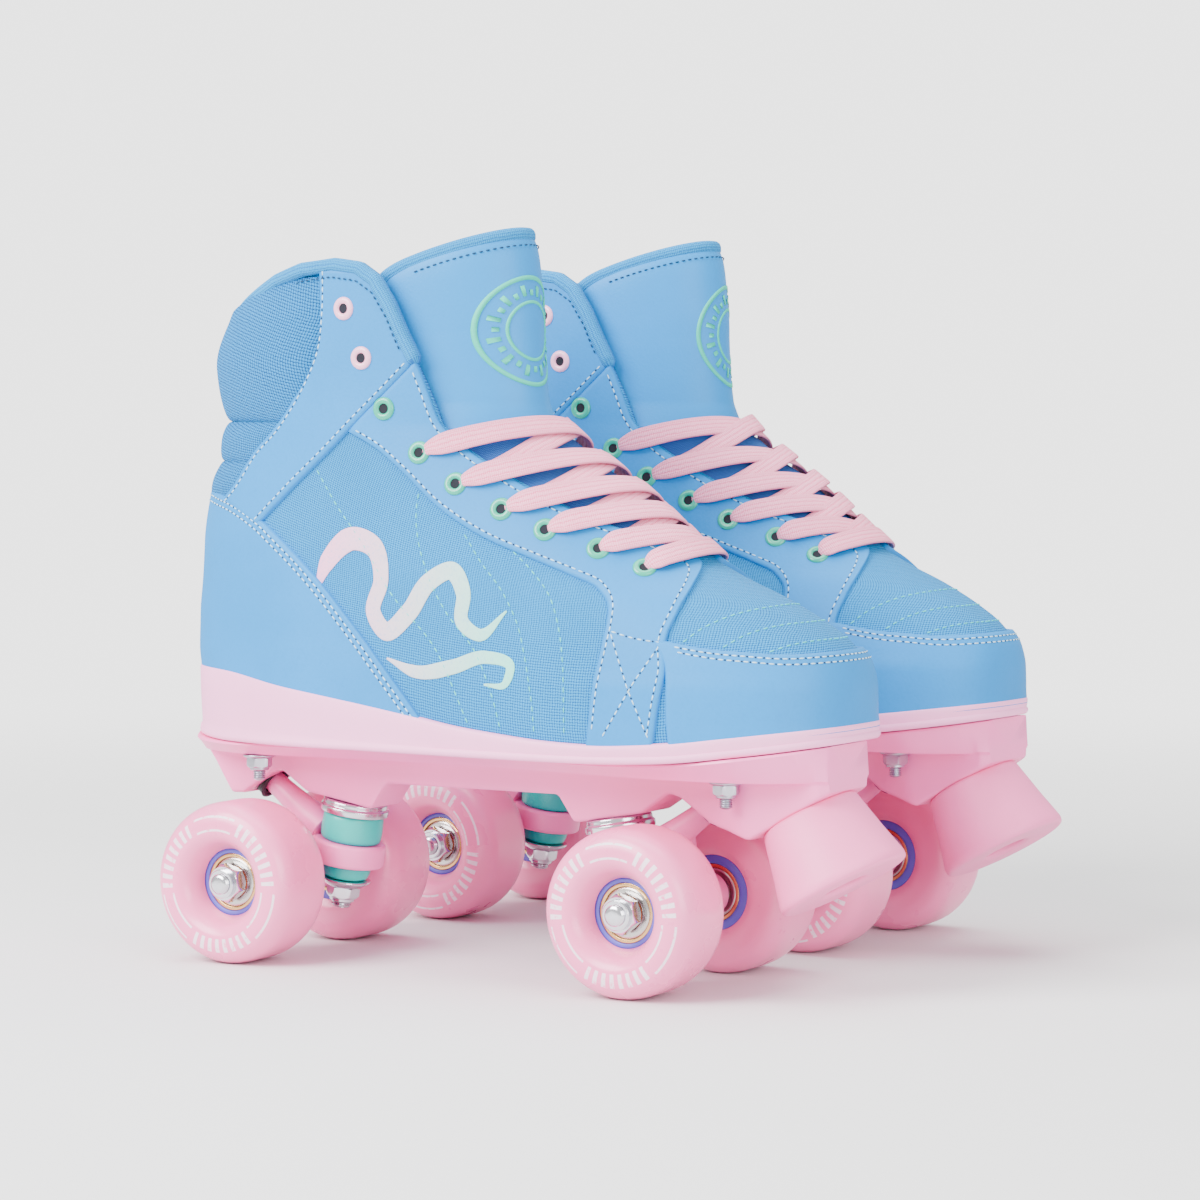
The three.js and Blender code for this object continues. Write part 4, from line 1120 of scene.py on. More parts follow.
# the way along a strand, how far it stands off the boot, and how much more where it is on top
STAND = np.array([
    [0, -1.8, 0], [0.012, 0.4, 0], [0.035, 2.7, 0], [0.09, 3.6, 0], [0.18, 3.1, 0], [0.3, 2.2, 0.5],
    [0.42, 1.3, 1.5], [0.5, 1.0, 1.9], [0.6, 0.8, 1.5], [0.72, 0.5, 0.6], [0.82, -0.6, 0],
    [0.89, -2.0, 0], [0.95, -3.0, 0]
])
STAND_STRAIGHT = np.array([
    [0, -1.8, 0], [0.015, 0.4, 0], [0.05, 2.9, 0], [0.13, 3.9, 0], [0.3, 3.6, 0], [0.5, 3.4, 0],
    [0.7, 3.6, 0], [0.87, 3.9, 0], [0.95, 2.9, 0], [0.985, 0.4, 0], [1.0, -1.8, 0]
])


def strand(row, side, to_row, over, count=120):
    """A lace from its eyelet round the front of the boot, and under the far side's edge."""
    (x, z), (far_x, far_z) = EYELETS[row], EYELETS[to_row]
    begin, end = np.pi - phi_at(x, z), -(np.pi - phi_at(far_x, far_z))
    stand = STAND.copy() if to_row != row else STAND_STRAIGHT
    t = np.linspace(0, stand[-1, 0], count)
    level = z + (far_z - z) * t
    level = level + np.interp(level, RISE[:, 0], RISE[:, 1]) * np.sin(np.pi * t) ** 0.9
    phi = side * (np.pi - (begin + (end - begin) * t))
    lift = through(stand[:, 0], stand[:, 1] + over * stand[:, 2], t)
    path = boot(phi, level, lift)
    wide = 8.8 - 5.6 * np.exp(-((t / 0.045) ** 2)) - (
        5.6 * np.exp(-(((1 - t) / 0.045) ** 2)) if to_row == row else 0
    )
    deep = 1.35 + 1.5 * np.exp(-((t / 0.03) ** 2))
    return tube(path, surface_normal(phi, level), wide, deep, 20, 4.0)


lace_shape = Shape()
last = len(EYELETS) - 1
strands = [strand(row, side, row + 1, float(side < 0)) for row in range(LACED_FROM, last) for side in (-1, 1)]
strands.append(strand(last, -1, last, 0.0))
for ring, uv in strands:
    lace_shape.grid(ring, wrap_columns=True, uv=uv)
print(len(strands), "strands,", round(sum(uv[..., 0].max() for ring, uv in strands)), "mm of lace in all")
piece("lace", lace_shape, LACE, nodes=["lace"])

# %% [markdown]
# # Turned and hexagonal parts
# Wheels, bearings, washers and cups are sections carried round an axis. A corner in a section is
# replaced by a short curve, so that every edge catches the light. A nut is the same idea with a
# radius that follows a hexagon, cut back by a cone at the top for the chamfer.

# %% Sections with eased corners


def eased(points, radius, steps=4):
    """A closed outline with every corner replaced by a curve that starts radius mm before it."""
    p = np.asarray(points, float)
    back, ahead = np.roll(p, 1, 0) - p, np.roll(p, -1, 0) - p
    radius = np.broadcast_to(np.asarray(radius, float), len(p))
    start = p + unit(back) * np.minimum(radius, 0.45 * np.linalg.norm(back, axis=1))[:, None]
    end = p + unit(ahead) * np.minimum(radius, 0.45 * np.linalg.norm(ahead, axis=1))[:, None]
    t = np.linspace(0, 1, steps)[None, :, None]
    return (
        (1 - t) ** 2 * start[:, None] + 2 * t * (1 - t) * p[:, None] + t * t * end[:, None]
    ).reshape(-1, 2)


def square_to(axis, side=None):
    """The axis as a unit vector, and a unit vector square to it, near the given one."""
    axis = unit(np.asarray(axis, float))
    side = np.eye(3)[np.argmin(np.abs(axis))] if side is None else np.asarray(side, float)
    return axis, unit(side - axis * np.dot(side, axis))


def ring_of(shape, profile, centre, axis, sides=48, ease=0.3):
    """Adds a closed section of (radius, distance along the axis), carried round the axis."""
    section = eased(profile, ease) if np.any(np.asarray(ease) > 0) else np.asarray(profile, float)
    axis, side = square_to(axis)
    shape.grid(spin(section, np.asarray(centre, float), axis, side, sides), wrap_rows=True, wrap_columns=True)
    return shape


def threaded(shape, centre, axis, radius, start, stop, pitch=1.0, sides=24):
    """A screwed rod with a domed end: rings that step between the crest and the root."""
    crest = np.arange(start, stop - 0.8, pitch)
    r = np.stack(
        [np.full(len(crest), radius), np.full(len(crest), radius), np.full(len(crest), radius - 0.45)],
        -1
    ).ravel()
    s = np.stack([crest, crest + 0.15 * pitch, crest + 0.6 * pitch], -1).ravel()
    r = np.concatenate([[0], [radius - 0.5], r, [radius - 0.4, radius - 0.9, radius * 0.5, 0]])
    s = np.concatenate([[start - 0.2], [start - 0.2], s, [stop - 0.5, stop - 0.15, stop, stop]])
    axis, side = square_to(axis)
    shape.grid(spin(np.stack([r, s], -1), np.asarray(centre, float), axis, side, sides), wrap_columns=True)
    return shape


HEX_STEPS = 72


def hexagon(shape, centre, axis, flats, low, high, bore=0.0, collar=0.0, side=(0.26, 0.97, 0)):
    """A hex nut or head: flats is half the distance across flats, collar is the locking ring on top."""
    axis, side = square_to(axis, side)
    angle = np.linspace(0, 2 * np.pi, HEX_STEPS, endpoint=False)
    edge = flats / np.cos((angle + np.pi / 6) % (np.pi / 3) - np.pi / 6)
    top = high - collar
    rows = [(np.full(HEX_STEPS, bore), low), (np.minimum(edge, flats * 1.02), low)]
    rows += [(np.minimum(edge, flats * (1.02 + 0.135 * k)), low + k * 0.22) for k in (0.5, 1)]
    rows += [
        (
            np.minimum(edge, flats * (1.155 - 0.17 * k)), top - flats * 0.17 * (1 - k)
        ) for k in np.linspace(0, 1, 5)
    ]
    if collar:
        rows += [
            (np.full(HEX_STEPS, flats * 0.86), top), (np.full(HEX_STEPS, flats * 0.86), high - 0.3),
            (np.full(HEX_STEPS, flats * 0.8), high)
        ]
    rows += [(np.full(HEX_STEPS, bore), high if collar else top)]
    other = np.cross(axis, side)
    round_ = np.cos(angle)[:, None] * side + np.sin(angle)[:, None] * other
    points = np.stack([np.asarray(centre, float) + r[:, None] * round_ + s * axis for r, s in rows])
    shape.grid(points, wrap_rows=bore > 0, wrap_columns=True)
    return shape


# %% [markdown]
# # Wheels
# A wheel is cast urethane on a nylon hub with two 22 mm bearings. The tyre's face is a broad
# domed ring that falls into a dish round the nut. The marks are printed on the outer face only,
# so the print's own map has its radius there and nothing on the inner face.

# %% Tyres, hubs and bearings
AXLE_X, WHEEL_Y, AXLE_Z = 86.75, 37.0, 31.0
ENDS = {"front": 1, "rear": -1}
FACE = [
    [12.8, 6.5], [13.2, 7.8], [14.5, 11.0], [16.5, 14.2], [19.2, 16.1], [22.2, 16.5], [25.2, 16.0],
    [27.9, 14.5], [29.8, 12.0], [30.75, 9.0], [31, 6.0]
]
INNER = [
    [31, -6.0], [30.7, -9.4], [29.6, -12.8], [27.4, -15.4], [24.4, -16.4], [20.5, -16.5], [16.8, -16.0],
    [15.2, -15.2]
]


BORE = [[14.3, -14.6], [14.3, -4.0], [14.3, 5.75], [12.9, 6.25]]
FACE_STEPS, INNER_STEPS, TYRE_STEPS = 56, 44, 97
# the print's map reads this radius, where no mark is, on all but the outer face
UNPRINTED = 40.0


def tyre_shape(centre, outward):
    section = np.concatenate([curve(FACE, FACE_STEPS), curve(INNER, INNER_STEPS), BORE])
    angle = np.linspace(0, 2 * np.pi, TYRE_STEPS)
    round_ = np.stack([np.cos(angle), 0 * angle, np.sin(angle)], -1)
    points = centre + section[:, 0, None, None] * round_ + section[:, 1, None, None] * outward
    reach = np.where(np.arange(len(section)) < FACE_STEPS, section[:, 0], UNPRINTED)
    turns = -outward[1] * np.linspace(0, 1, TYRE_STEPS)
    uv = np.stack(np.broadcast_arrays(turns[None, :], reach[:, None]), -1)
    return Shape().grid(points, uv=uv)


def hub_shape(centre, outward):
    return ring_of(Shape(), [
        [11.05, 6.2], [12.1, 6.4], [14.2, 5.6], [14.2, -14.6], [12.2, -15.2], [11.05, -15], [11.05, -8],
        [8, -8], [8, -1], [11.05, -1]
    ], centre, outward, 64, 0.25)


def bearing_shapes(centre, outward, races, shields):
    for low, high in ((-1, 6), (-15, -8)):
        ring_of(races, [[9.5, low], [11, low], [11, high], [9.5, high]], centre, outward, 64, 0.35)
        ring_of(races, [[4.15, low], [5.9, low], [5.9, high], [4.15, high]], centre, outward, 48, 0.3)
        for face, way in ((high, -1), (low, 1)):
            ring_of(shields, [[5.95, face + way * 0.5], [6.6, face + way * 0.25], [8.7, face + way * 0.25],
                              [9.45, face + way * 0.55], [9.45, face + way * 1.1],
                              [5.95, face + way * 1.1]], centre, outward, 64, 0.15)


RACE = plated("bearing_race", srgb(222, 176, 118), 0.2)
SHIELD = plated("bearing_shield_steel", srgb(200, 196, 190), 0.22)
for end, sign in ENDS.items():
    for where, y in (("outer", -WHEEL_Y), ("inner", WHEEL_Y)):
        centre, outward = np.array([sign * AXLE_X, y, AXLE_Z]), np.array([0, np.sign(y), 0])
        body = f"{end}_{where}_wheel"
        piece(
            f"{end}_{where}_tyre_cast", tyre_shape(centre, outward), TYRE, body,
            [f"{end}_{where}_tyre"], sharp=50
        )
        piece(
            f"{end}_{where}_hub_core", hub_shape(centre, outward), HUB_BLUE, body,
            [f"{end}_{where}_hub"], sharp=40
        )
        races, shields = Shape(), Shape()
        bearing_shapes(centre, outward, races, shields)
        piece(f"{end}_{where}_bearing_races", races, RACE, body, sharp=40)
        piece(f"{end}_{where}_bearing_shields", shields, SHIELD, body, sharp=40)

# %% [markdown]
# The axle is a steel rod through the hanger. Each wheel is held by a lock nut with a nylon
# collar over a washer, and the rod's screwed end stands a little out of the nut.

# %% Axles with their nuts


def axle_shape(x):
    shape = Shape()
    centre = np.array([x, 0, AXLE_Z])
    ring_of(shape, [[0.0, -43], [4, -43], [4, 43], [0.0, 43]], centre, (0, 1.0, 0), 32, 0.0)
    for side in (-1, 1):
        outward = (0, float(side), 0)
        ring_of(shape, [[4.1, 43.3], [6.4, 43.3], [6.4, 44.3], [4.1, 44.3]], centre, outward, 48, 0.25)
        ring_of(shape, [[4.1, 19.8], [6, 19.8], [6, 21.7], [4.1, 21.7]], centre, outward, 32, 0.2)
        hexagon(shape, centre, outward, 6.5, 44.35, 50.9, bore=3.9, collar=1.6, side=(0.35, 0, 1.0))
        threaded(shape, centre, outward, 3.95, 42.6, 52.6, 1.0)
    return shape


for end, sign in ENDS.items():
    piece(
        f"{end}_axle_rod", axle_shape(sign * AXLE_X), CHROME, f"{end}_truck", [f"{end}_axle"],
        sharp=30
    )

# %% [markdown]
# # Trucks
# The kingpin leans outwards by ten degrees and carries a stack: a steel cup, a tall urethane cushion, the
# hanger's ring, a short cushion, a dished washer and a nut. The cushions cross the joint between the boots
# and the truck.

# %% Kingpins and cushions
LEAN, PIN_X, PIN_Z = np.radians(10), 58.8, 60.5
# how far down the kingpin the hanger's ring has its middle, and where the pivot's socket opens
RING_MID, PIVOT = 21.0, np.array([97.6, 0, 65.5])


def pin_frame(sign):
    """The point where the kingpin leaves the boss, and its direction downwards."""
    return np.array([sign * PIN_X, 0, PIN_Z]), np.array([sign * np.sin(LEAN), 0, -np.cos(LEAN)])


def pivot_frame(sign):
    """The mouth of the pivot's socket, and the direction into it from the hanger's ring."""
    base, down = pin_frame(1)
    return PIVOT * (sign, 1, 1), unit(PIVOT - base - down * RING_MID) * (sign, 1, 1)


def kingpin_shape(sign):
    base, down = pin_frame(sign)
    shape = Shape()
    ring_of(shape, [[0.0, -15.3], [3.95, -15.3], [3.95, 36], [0.0, 36]], base, down, 32, 0.0)
    hexagon(shape, base, -down, 6.2, 15.3, 20.3)
    cup = [[4.1, 0.3], [12.2, 0.3], [12.5, 1], [12.5, 2.3], [13.3, 2.9], [13.3, 5.3], [12.3, 5.3], [4.1, 5.2]]
    ring_of(shape, cup, base, down, 72, [0.2, 0.7, 0.3, 0.35, 0.35, 0.5, 0.3, 0.1])
    ring_of(
        shape,
        [[4.1, 31.3], [9.6, 31.3], [10.3, 31.7], [9.9, 32.5], [7.6, 34.2], [6.4, 34.7], [4.1, 34.7]],
        base, down, 64, 0.4
    )
    hexagon(shape, base, down, 5.6, 34.75, 40.6, bore=3.9, collar=1.4, side=(0.5, 0.86, 0))
    threaded(shape, base, down, 3.9, 34.0, 43.2, 1.0)
    return shape


def cushion_shape(sign, low, high, top_radius, low_radius, bulge):
    base, down = pin_frame(sign)
    t = np.linspace(0, 1, 20)
    radius = top_radius + (low_radius - top_radius) * t + bulge * np.sin(np.pi * t)
    radius = radius - 0.9 * (np.abs(2 * t - 1) ** 10)
    side = np.stack([radius, low + (high - low) * t], -1)
    section = np.concatenate([[[4.3, low]], side, [[4.3, high]]])
    return Shape().grid(
        spin(section, base, down, np.array([0, 1.0, 0]), 72), wrap_rows=True, wrap_columns=True
    )


for end, sign in ENDS.items():
    piece(
        f"kingpin_stack_{end}", kingpin_shape(sign), CHROME, nodes=[f"kingpin_{end}"],
        sharp=30
    )
    base, down = pin_frame(sign)
    for name, low, high, radii, fixed, moving in (
        ("upper", 5.4, 16.4, (11.5, 11.6), 5.4, 16.4), ("lower", 25.6, 31.2, (9.6, 8.4), 31.2, 25.6)
    ):
        shape = cushion_shape(sign, low, high, *radii, 0.35)
        for obj, skate in zip(
            piece(
                f"{name}_cushion_urethane_{end}", shape, MINT, None, [f"{name}_cushion_{end}"],
                sharp=50
            ),
            SKATES
        ):
            start, stop = (Vector(placed(base + down * s, skate)) for s in (fixed, moving))
            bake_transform(obj)

# %% [markdown]
# The hanger is one casting: a ring round the kingpin, an arm up to the pivot, a tube for the
# axle and a web that joins them. Each is its own closed skin, and they run into one another.

# %% Hangers


def lump(shape, outline, half, ease=2.5, round_over=1.6):
    """A plate seen from the side with eased corners, whose two edges are rounded over."""
    side = eased(outline, ease, 5)
    centre = side.mean(0)
    reach = np.linalg.norm(side - centre, axis=1, keepdims=True)
    t = np.linspace(0, np.pi / 2, 5)
    pull = round_over * (1 - np.sin(t))
    rings = [side - (side - centre) / reach * p for p in np.concatenate([pull, pull[::-1]])]
    across = np.concatenate(
        [-(half - round_over) - round_over * np.cos(t), (half - round_over) + round_over * np.cos(t[::-1])]
    )
    rows = [np.stack([r[:, 0], np.full(len(r), a), r[:, 1]], -1) for r, a in zip(rings, across)]
    first, last = (np.broadcast_to(r.mean(0), r.shape) for r in (rows[0], rows[-1]))
    shape.grid(np.stack([first, *rows, last]), wrap_columns=True)
    return shape


def hanger_shape(sign):
    shape = Shape()
    base, down = pin_frame(sign)
    ring_of(
        shape, [[6.5, 16.6], [13.2, 16.5], [14.1, 17.3], [14.1, 24.8], [13.2, 25.5], [6.5, 25.4]], base,
        down, 80, 0.7
    )
    ring_of(shape, [[4.4, -19.5], [8.2, -19.5], [8.8, -12], [9.2, 0], [8.8, 12], [8.2, 19.5], [4.4, 19.5]],
            (sign * AXLE_X, 0, AXLE_Z), (0, 1.0, 0), 48, 0.6)
    middle_ = pin_frame(1)[0] + pin_frame(1)[1] * RING_MID
    mouth = np.linalg.norm(PIVOT - middle_)
    s = np.array([12.5, 14, 20, 28, 36, 40, mouth - 1, mouth + 3, mouth + 7.2, mouth + 8.3, mouth + 8.6])
    r = np.array([0.01, 6.8, 6.4, 5.4, 4.7, 4.5, 4.4, 4.3, 3.9, 2.6, 0.01])
    arm = curve(np.stack([r, s], -1), 60, straight=True)
    arm = spin(arm, middle_ * (sign, 1, 1), pivot_frame(sign)[1], np.array([0, 1.0, 0]), 40)
    shape.grid(arm, wrap_columns=True)
    rx, rz = middle_[0], middle_[2]
    lump(
        shape,
        [
            [sign * (rx + 8), rz + 4.4], [sign * (rx + 26), rz + 18],
            [sign * (AXLE_X + 4.5), AXLE_Z + 7], [sign * AXLE_X, AXLE_Z - 6], [sign * (rx + 8), rz - 5]
        ],
        6, 3.5, 2.5
    )
    lump(
        shape,
        [
            [sign * (rx + 6), rz + 3.2], [sign * AXLE_X, AXLE_Z + 7], [sign * AXLE_X, AXLE_Z - 7],
            [sign * (rx + 6), rz - 5]
        ],
        12, 2.5, 3.0
    )
    return shape


for end, sign in ENDS.items():
    piece(
        f"{end}_hanger_casting", hanger_shape(sign), PLATE_PINK, f"{end}_truck", [f"{end}_hanger"],
        sharp=40
    )

# %% [markdown]
# # Plate
# The plate is moulded nylon: a broad flange under the boot, a beam down its middle with a boss
# at each kingpin and each pivot, and a nose for the toe stop. It is a row of cross-sections from
# heel to toe, each a rounded T. The holes are then cut as drills would cut them.

# %% Cross-sections of the plate
FLANGE = np.array(
    [
        [-124, 12, 8], [-120, 20, 15], [-110, 27, 22.5], [-90, 31.5, 27.5], [-50, 29, 25], [0, 30, 24],
        [57, 36, 30], [72, 38, 32], [99, 40, 34], [124, 39, 32], [136, 33, 27], [148, 24, 19],
        [154, 15, 12.5]
    ]
)
BELOW = np.array(
    [
        [-124, 79.6], [-121.5, 78.9], [-110.8, 61.9], [-110, 61.2], [-104.4, 61.4], [-103, 62.4],
        [-91.4, 69.9], [-87.5, 71], [-86, 70.8], [-75.6, 63.7], [-74.4, 63.1], [-46.2, 58.2],
        [-44.9, 58.6], [-38.9, 67.4], [-37.4, 68.2], [37.4, 68.2], [38.9, 67.4], [44.9, 58.6],
        [46.2, 58.2], [74.4, 63.1], [75.6, 63.7], [86, 70.8], [87.5, 71], [91.4, 69.9], [103, 62.4],
        [104.4, 61.4], [113, 59.2], [121.2, 56.6], [122.6, 56.75], [153.2, 74.4], [154, 75.2]
    ]
)
BEAM = np.array(
    [
        [-124, 8], [-121, 11], [-110, 11.5], [-96, 11.5], [-80, 11.3], [-40, 11], [0, 11], [40, 11],
        [80, 12], [100, 13.5], [112, 16], [121, 17.5], [150, 17.5], [154, 15]
    ]
)


def plate_shape(count=320):
    x = np.linspace(-124, 154, count)
    wide, narrow = (np.minimum(through(FLANGE[:, 0], FLANGE[:, k], x), 60) for k in (1, 2))
    low, half = np.interp(x, BELOW[:, 0], BELOW[:, 1]), through(BEAM[:, 0], BEAM[:, 1], x)
    top = sole_low(x) - 0.3
    flat = np.minimum(78.6, top - 2.0)
    under = np.minimum(low, flat - 0.05)
    zero = 0 * x
    narrow = np.maximum(narrow, half + 1.2)
    fillet = np.minimum(3.2, np.maximum(0.02, (flat - under) * 0.4))
    reach = np.minimum(fillet, np.maximum(0.05, narrow - half - 0.6))
    edge = np.minimum(1.6, (flat - under) * 0.3 + 0.02)
    taper = (flat - under) * 0.03
    rows = [
        (zero, top), (wide - 2, top), (wide - 0.9, top - 0.05), (wide - 0.25, top - 0.35), (wide, top - 1.0),
        (wide - (wide - narrow) * 0.5, top * 0.5 + flat * 0.5), (narrow + 0.25, flat + 0.9),
        (narrow - 0.4, flat + 0.25), (narrow - 1.2 * 0.5, flat),
        (half + reach, flat), (half + reach * 0.45, flat - fillet * 0.12),
        (half + reach * 0.12, flat - fillet * 0.45), (half, flat - fillet),
        (half - taper * 0.6, under + (flat - under) * 0.3 + edge * 0.4), (half - taper, under + edge),
        (half - taper - edge * 0.13, under + edge * 0.45),
        (half - taper - edge * 0.45, under + edge * 0.13), (half - taper - edge, under), (zero, under),
    ]
    y, z = np.stack([r[0] for r in rows], 1), np.stack([r[1] for r in rows], 1)
    y, z = np.concatenate([y, -y[:, -2:0:-1]], 1), np.concatenate([z, z[:, -2:0:-1]], 1)
    points = np.stack(np.broadcast_arrays(x[:, None], y, z), -1)
    first, last = (np.broadcast_to(points[k].mean(0), points[k].shape) for k in (0, -1))
    return Shape().grid(np.concatenate([first[None], points, last[None]]), wrap_columns=True)


BOLTS = {
    "front_outer": (116, -22), "front_inner": (116, 22), "rear_outer": (-89, -22),
    "rear_inner": (-89, 22)
}


def drill(shape, centre, axis, radius, low, high):
    ring_of(shape, [[0.0, low], [radius, low], [radius, high], [0.0, high]], centre, axis, 40, 0.0)


STOP_FROM, STOP_WAY = np.array([138, 0, 66.0]), np.array([0.5, 0, -np.sqrt(0.75)])
holes = []
for sign in ENDS.values():
    base, down = pin_frame(sign)
    for args in (
        (base, -down, 4.3, -3, 17), (base, -down, 7.6, 15, 26), (*pivot_frame(sign), 7.0, -10, 10.2)
    ):
        holes.append(Shape())
        drill(holes[-1], *args)
for x, y in BOLTS.values():
    holes.append(Shape())
    drill(holes[-1], (x, y, 0), (0, 0, 1.0), 2.8, 60, 95)
holes.append(Shape())
drill(holes[-1], STOP_FROM, -STOP_WAY, 4.3, -3, 12)


def cut_away(obj, cutters, skate):
    """Cuts each closed shape out of the object, one after another, and keeps the result."""
    tools = []
    for k, cutter in enumerate(cutters):
        tool = bpy.data.objects.new(f"drill_{k}", cutter.mesh(f"drill_{k}", skate, True))
        bpy.context.scene.collection.objects.link(tool)
        cut = obj.modifiers.new(f"cut_{k}", "BOOLEAN")
        cut.operation, cut.solver, cut.object = "DIFFERENCE", "EXACT", tool
        tools.append(tool)
    result = bpy.data.meshes.new_from_object(obj.evaluated_get(bpy.context.evaluated_depsgraph_get()))
    old = obj.data
    obj.modifiers.clear()
    obj.data = result
    for tool in tools:
        bpy.data.objects.remove(tool)
    bpy.data.meshes.remove(old)


for obj, skate in zip(
    piece("plate_moulding", plate_shape(), PLATE_PINK, nodes=["plate"], sharp=38), SKATES
):
    cut_away(obj, holes, skate)
    print(obj.name, "after drilling", len(obj.data.polygons), "faces")

# %% [markdown]
# The pivot cups are black rubber sleeves pressed into the bosses, and the arm's round end sits
# in them. The toe stop is a plug of urethane, bolted through its middle from below.

# %% Pivot cups and toe stop
CUP_SECTION = [
    [4.9, -0.8], [6.2, -1.4], [7.6, -0.9], [6.9, -0.1], [6.9, 9.8], [0.0, 9.8], [0.0, 9.0], [4.9, 8.6]
]
cups_ = Shape()
for sign in ENDS.values():
    ring_of(cups_, CUP_SECTION, *pivot_frame(sign), 48, 0.35)
piece("pivot_cups", cups_, BLACK_RUBBER, sharp=40)

STOP_SECTION = [
    [4.3, 0.3], [17.6, 0.3], [18.7, 1.2], [22.0, 16], [24.9, 27.4], [24.6, 29.4], [23.2, 30.1],
    [10.2, 30.1], [8.2, 29.2], [8, 19], [4.3, 19]
]
STOP_EASE = [0.2, 0.6, 0.8, 1.5, 1.2, 0.8, 0.8, 0.6, 0.6, 0.3, 0.2]
stop = ring_of(Shape(), STOP_SECTION, STOP_FROM, STOP_WAY, 96, STOP_EASE)
piece("toe_stop_plug", stop, STOP_PINK, nodes=["toe_stop"], sharp=40)
stop_bolt = ring_of(Shape(), [[0.0, -11], [3.9, -11], [3.9, 20], [0.0, 20]], STOP_FROM, STOP_WAY, 32, 0.0)
hexagon(stop_bolt, STOP_FROM, STOP_WAY, 6.1, 19.4, 24.2)
piece("toe_stop_screw", stop_bolt, CHROME, nodes=["toe_stop_bolt"], sharp=30)


NUT_FACE_Z, HEAD_SUNK = 78.3, 2.7


def mounting_bolt(x, y):
    """A bolt through the sole, with a flanged nut and the screwed end standing below it."""
    shape, down, low = Shape(), np.array([0, 0, -1.0]), np.array([x, y, NUT_FACE_Z])
    head = float(sole_high(x)) - HEAD_SUNK - NUT_FACE_Z
    ring_of(shape, [[0.0, 0.5], [2.4, 0.5], [2.4, head], [0.0, head]], low, -down, 24, 0.0)
    ring_of(
        shape, [[0.0, head], [6.4, head], [6.3, head + 0.7], [4.8, head + 1.9], [0.0, head + 2.1]], low,
        -down, 32, 0.2
    )
    ring_of(shape, [[2.5, 0.1], [6.2, 0.1], [6.3, 0.7], [5.3, 1.4], [2.5, 1.5]], low, down, 40, 0.2)
    hexagon(shape, low, down, 4.3, 1.4, 6.2, bore=2.4, collar=1.0)
    threaded(shape, low, down, 2.45, 0.5, 10.2, 0.8)
    return shape


for where, (x, y) in BOLTS.items():
    piece(
        f"sole_bolt_{where}", mounting_bolt(x, y), ZINC, nodes=[f"mounting_bolt_{where}"],
        sharp=30
    )

# %% [markdown]
# # Outsole and insole
# The outsole is a foam slab that wraps a little up the boot. Its wall is one section carried
# round the outline of the boot at the sole, between the two side-view lines of its rim, and its
# faces close on the middle line. The insole is made the same way, a size smaller.

# %% Outsole and insole


def slab_round(section, level=100.0, count=301):
    """Rows of (offset from the leather, share of the height, extra mm), carried round the outline."""
    phi = np.linspace(-np.pi, np.pi, count)
    rows = []
    for offset, share, extra in section:
        p = boot(phi, level, float(offset))
        rows.append(
            np.stack(
                [p[:, 0], p[:, 1], sole_low(p[:, 0]) * (1 - share) + sole_high(p[:, 0]) * share + extra],
                -1
            )
        )
    ends = [np.stack([r[:, 0], toe_bend(r[:, 0]), r[:, 2]], -1) for r in (rows[0], rows[-1])]
    return Shape().grid(np.stack([ends[0], *rows, ends[1]]))


sole = slab_round([
    (-9, 1, 0), (0.4, 1, 0), (1.4, 1, -0.15), (2.1, 1, -0.6), (2.4, 1, -1.4), (2.3, 0.66, 0),
    (2.0, 0.4, 0), (1.7, 0.2, 0.4), (1.75, 0, 3.0), (2.5, 0, 2.3), (2.6, 0, 1.4), (2.2, 0, 0.5),
    (1.4, 0, 0.05), (0, 0, 0), (-9, 0, 0)
])
piece("outsole_foam", sole, SOLE_PINK, nodes=["outsole"], sharp=50)
bed = slab_round(
    [(-14, 1, 4.6), (-8, 1, 4.6), (-6.8, 1, 4.3), (-6.1, 1, 3.4), (-6, 1, 1.4), (-6.4, 1, 0.6), (-14, 1, 0.6)]
)
piece("insole_bed", bed, INSOLE, nodes=["insole"], sharp=50)

# %% [markdown]
# # Printed motifs
# The outer side carries a plain printed ribbon, pale pink running into mint, and the tongue
# carries a plain ring badge. Both are thin closed films laid on the surface.

# %% The ribbon print on the side


def ribbon_finish():
    """A film whose colour runs along the skate, worn in small random patches, over the weave's bump."""
    material, n, bsdf = start_material("ribbon_print", Sheen_Weight=0.1)
    place = n("TexCoord").outputs["Object"]
    ahead = n("SeparateXYZ", {0: place}).outputs[0]
    share = n("MapRange", {0: ahead, 1: -0.075, 2: 0.02, 3: 0.0, 4: 1.0}).outputs[0]
    cloth = use(n, WEAVE, n("VectorMath", {0: place, 3: 1000.0}, operation="SCALE").outputs[0], Threads=0.95)
    cloud = use(n, CLOUDY, place, Size=60.0)
    base = n.mix(share, srgb(252, 170, 212), srgb(120, 232, 208))
    worn = n.math("MULTIPLY", n.ramp(cloud.outputs["Fine"], 0.5, 0.75), 0.25)
    link(n, n.mix(worn, base, srgb(90, 160, 220)), bsdf.inputs["Base Color"])
    roughen(n, bsdf, 0.55, (cloud.outputs["Fine"], 0.15))
    raise_surface(n, bsdf, cloth.outputs["Height"], 0.35, 0.0005)
    return material


RIBBON_STEPS, RIBBON_THICK = 260, 0.3


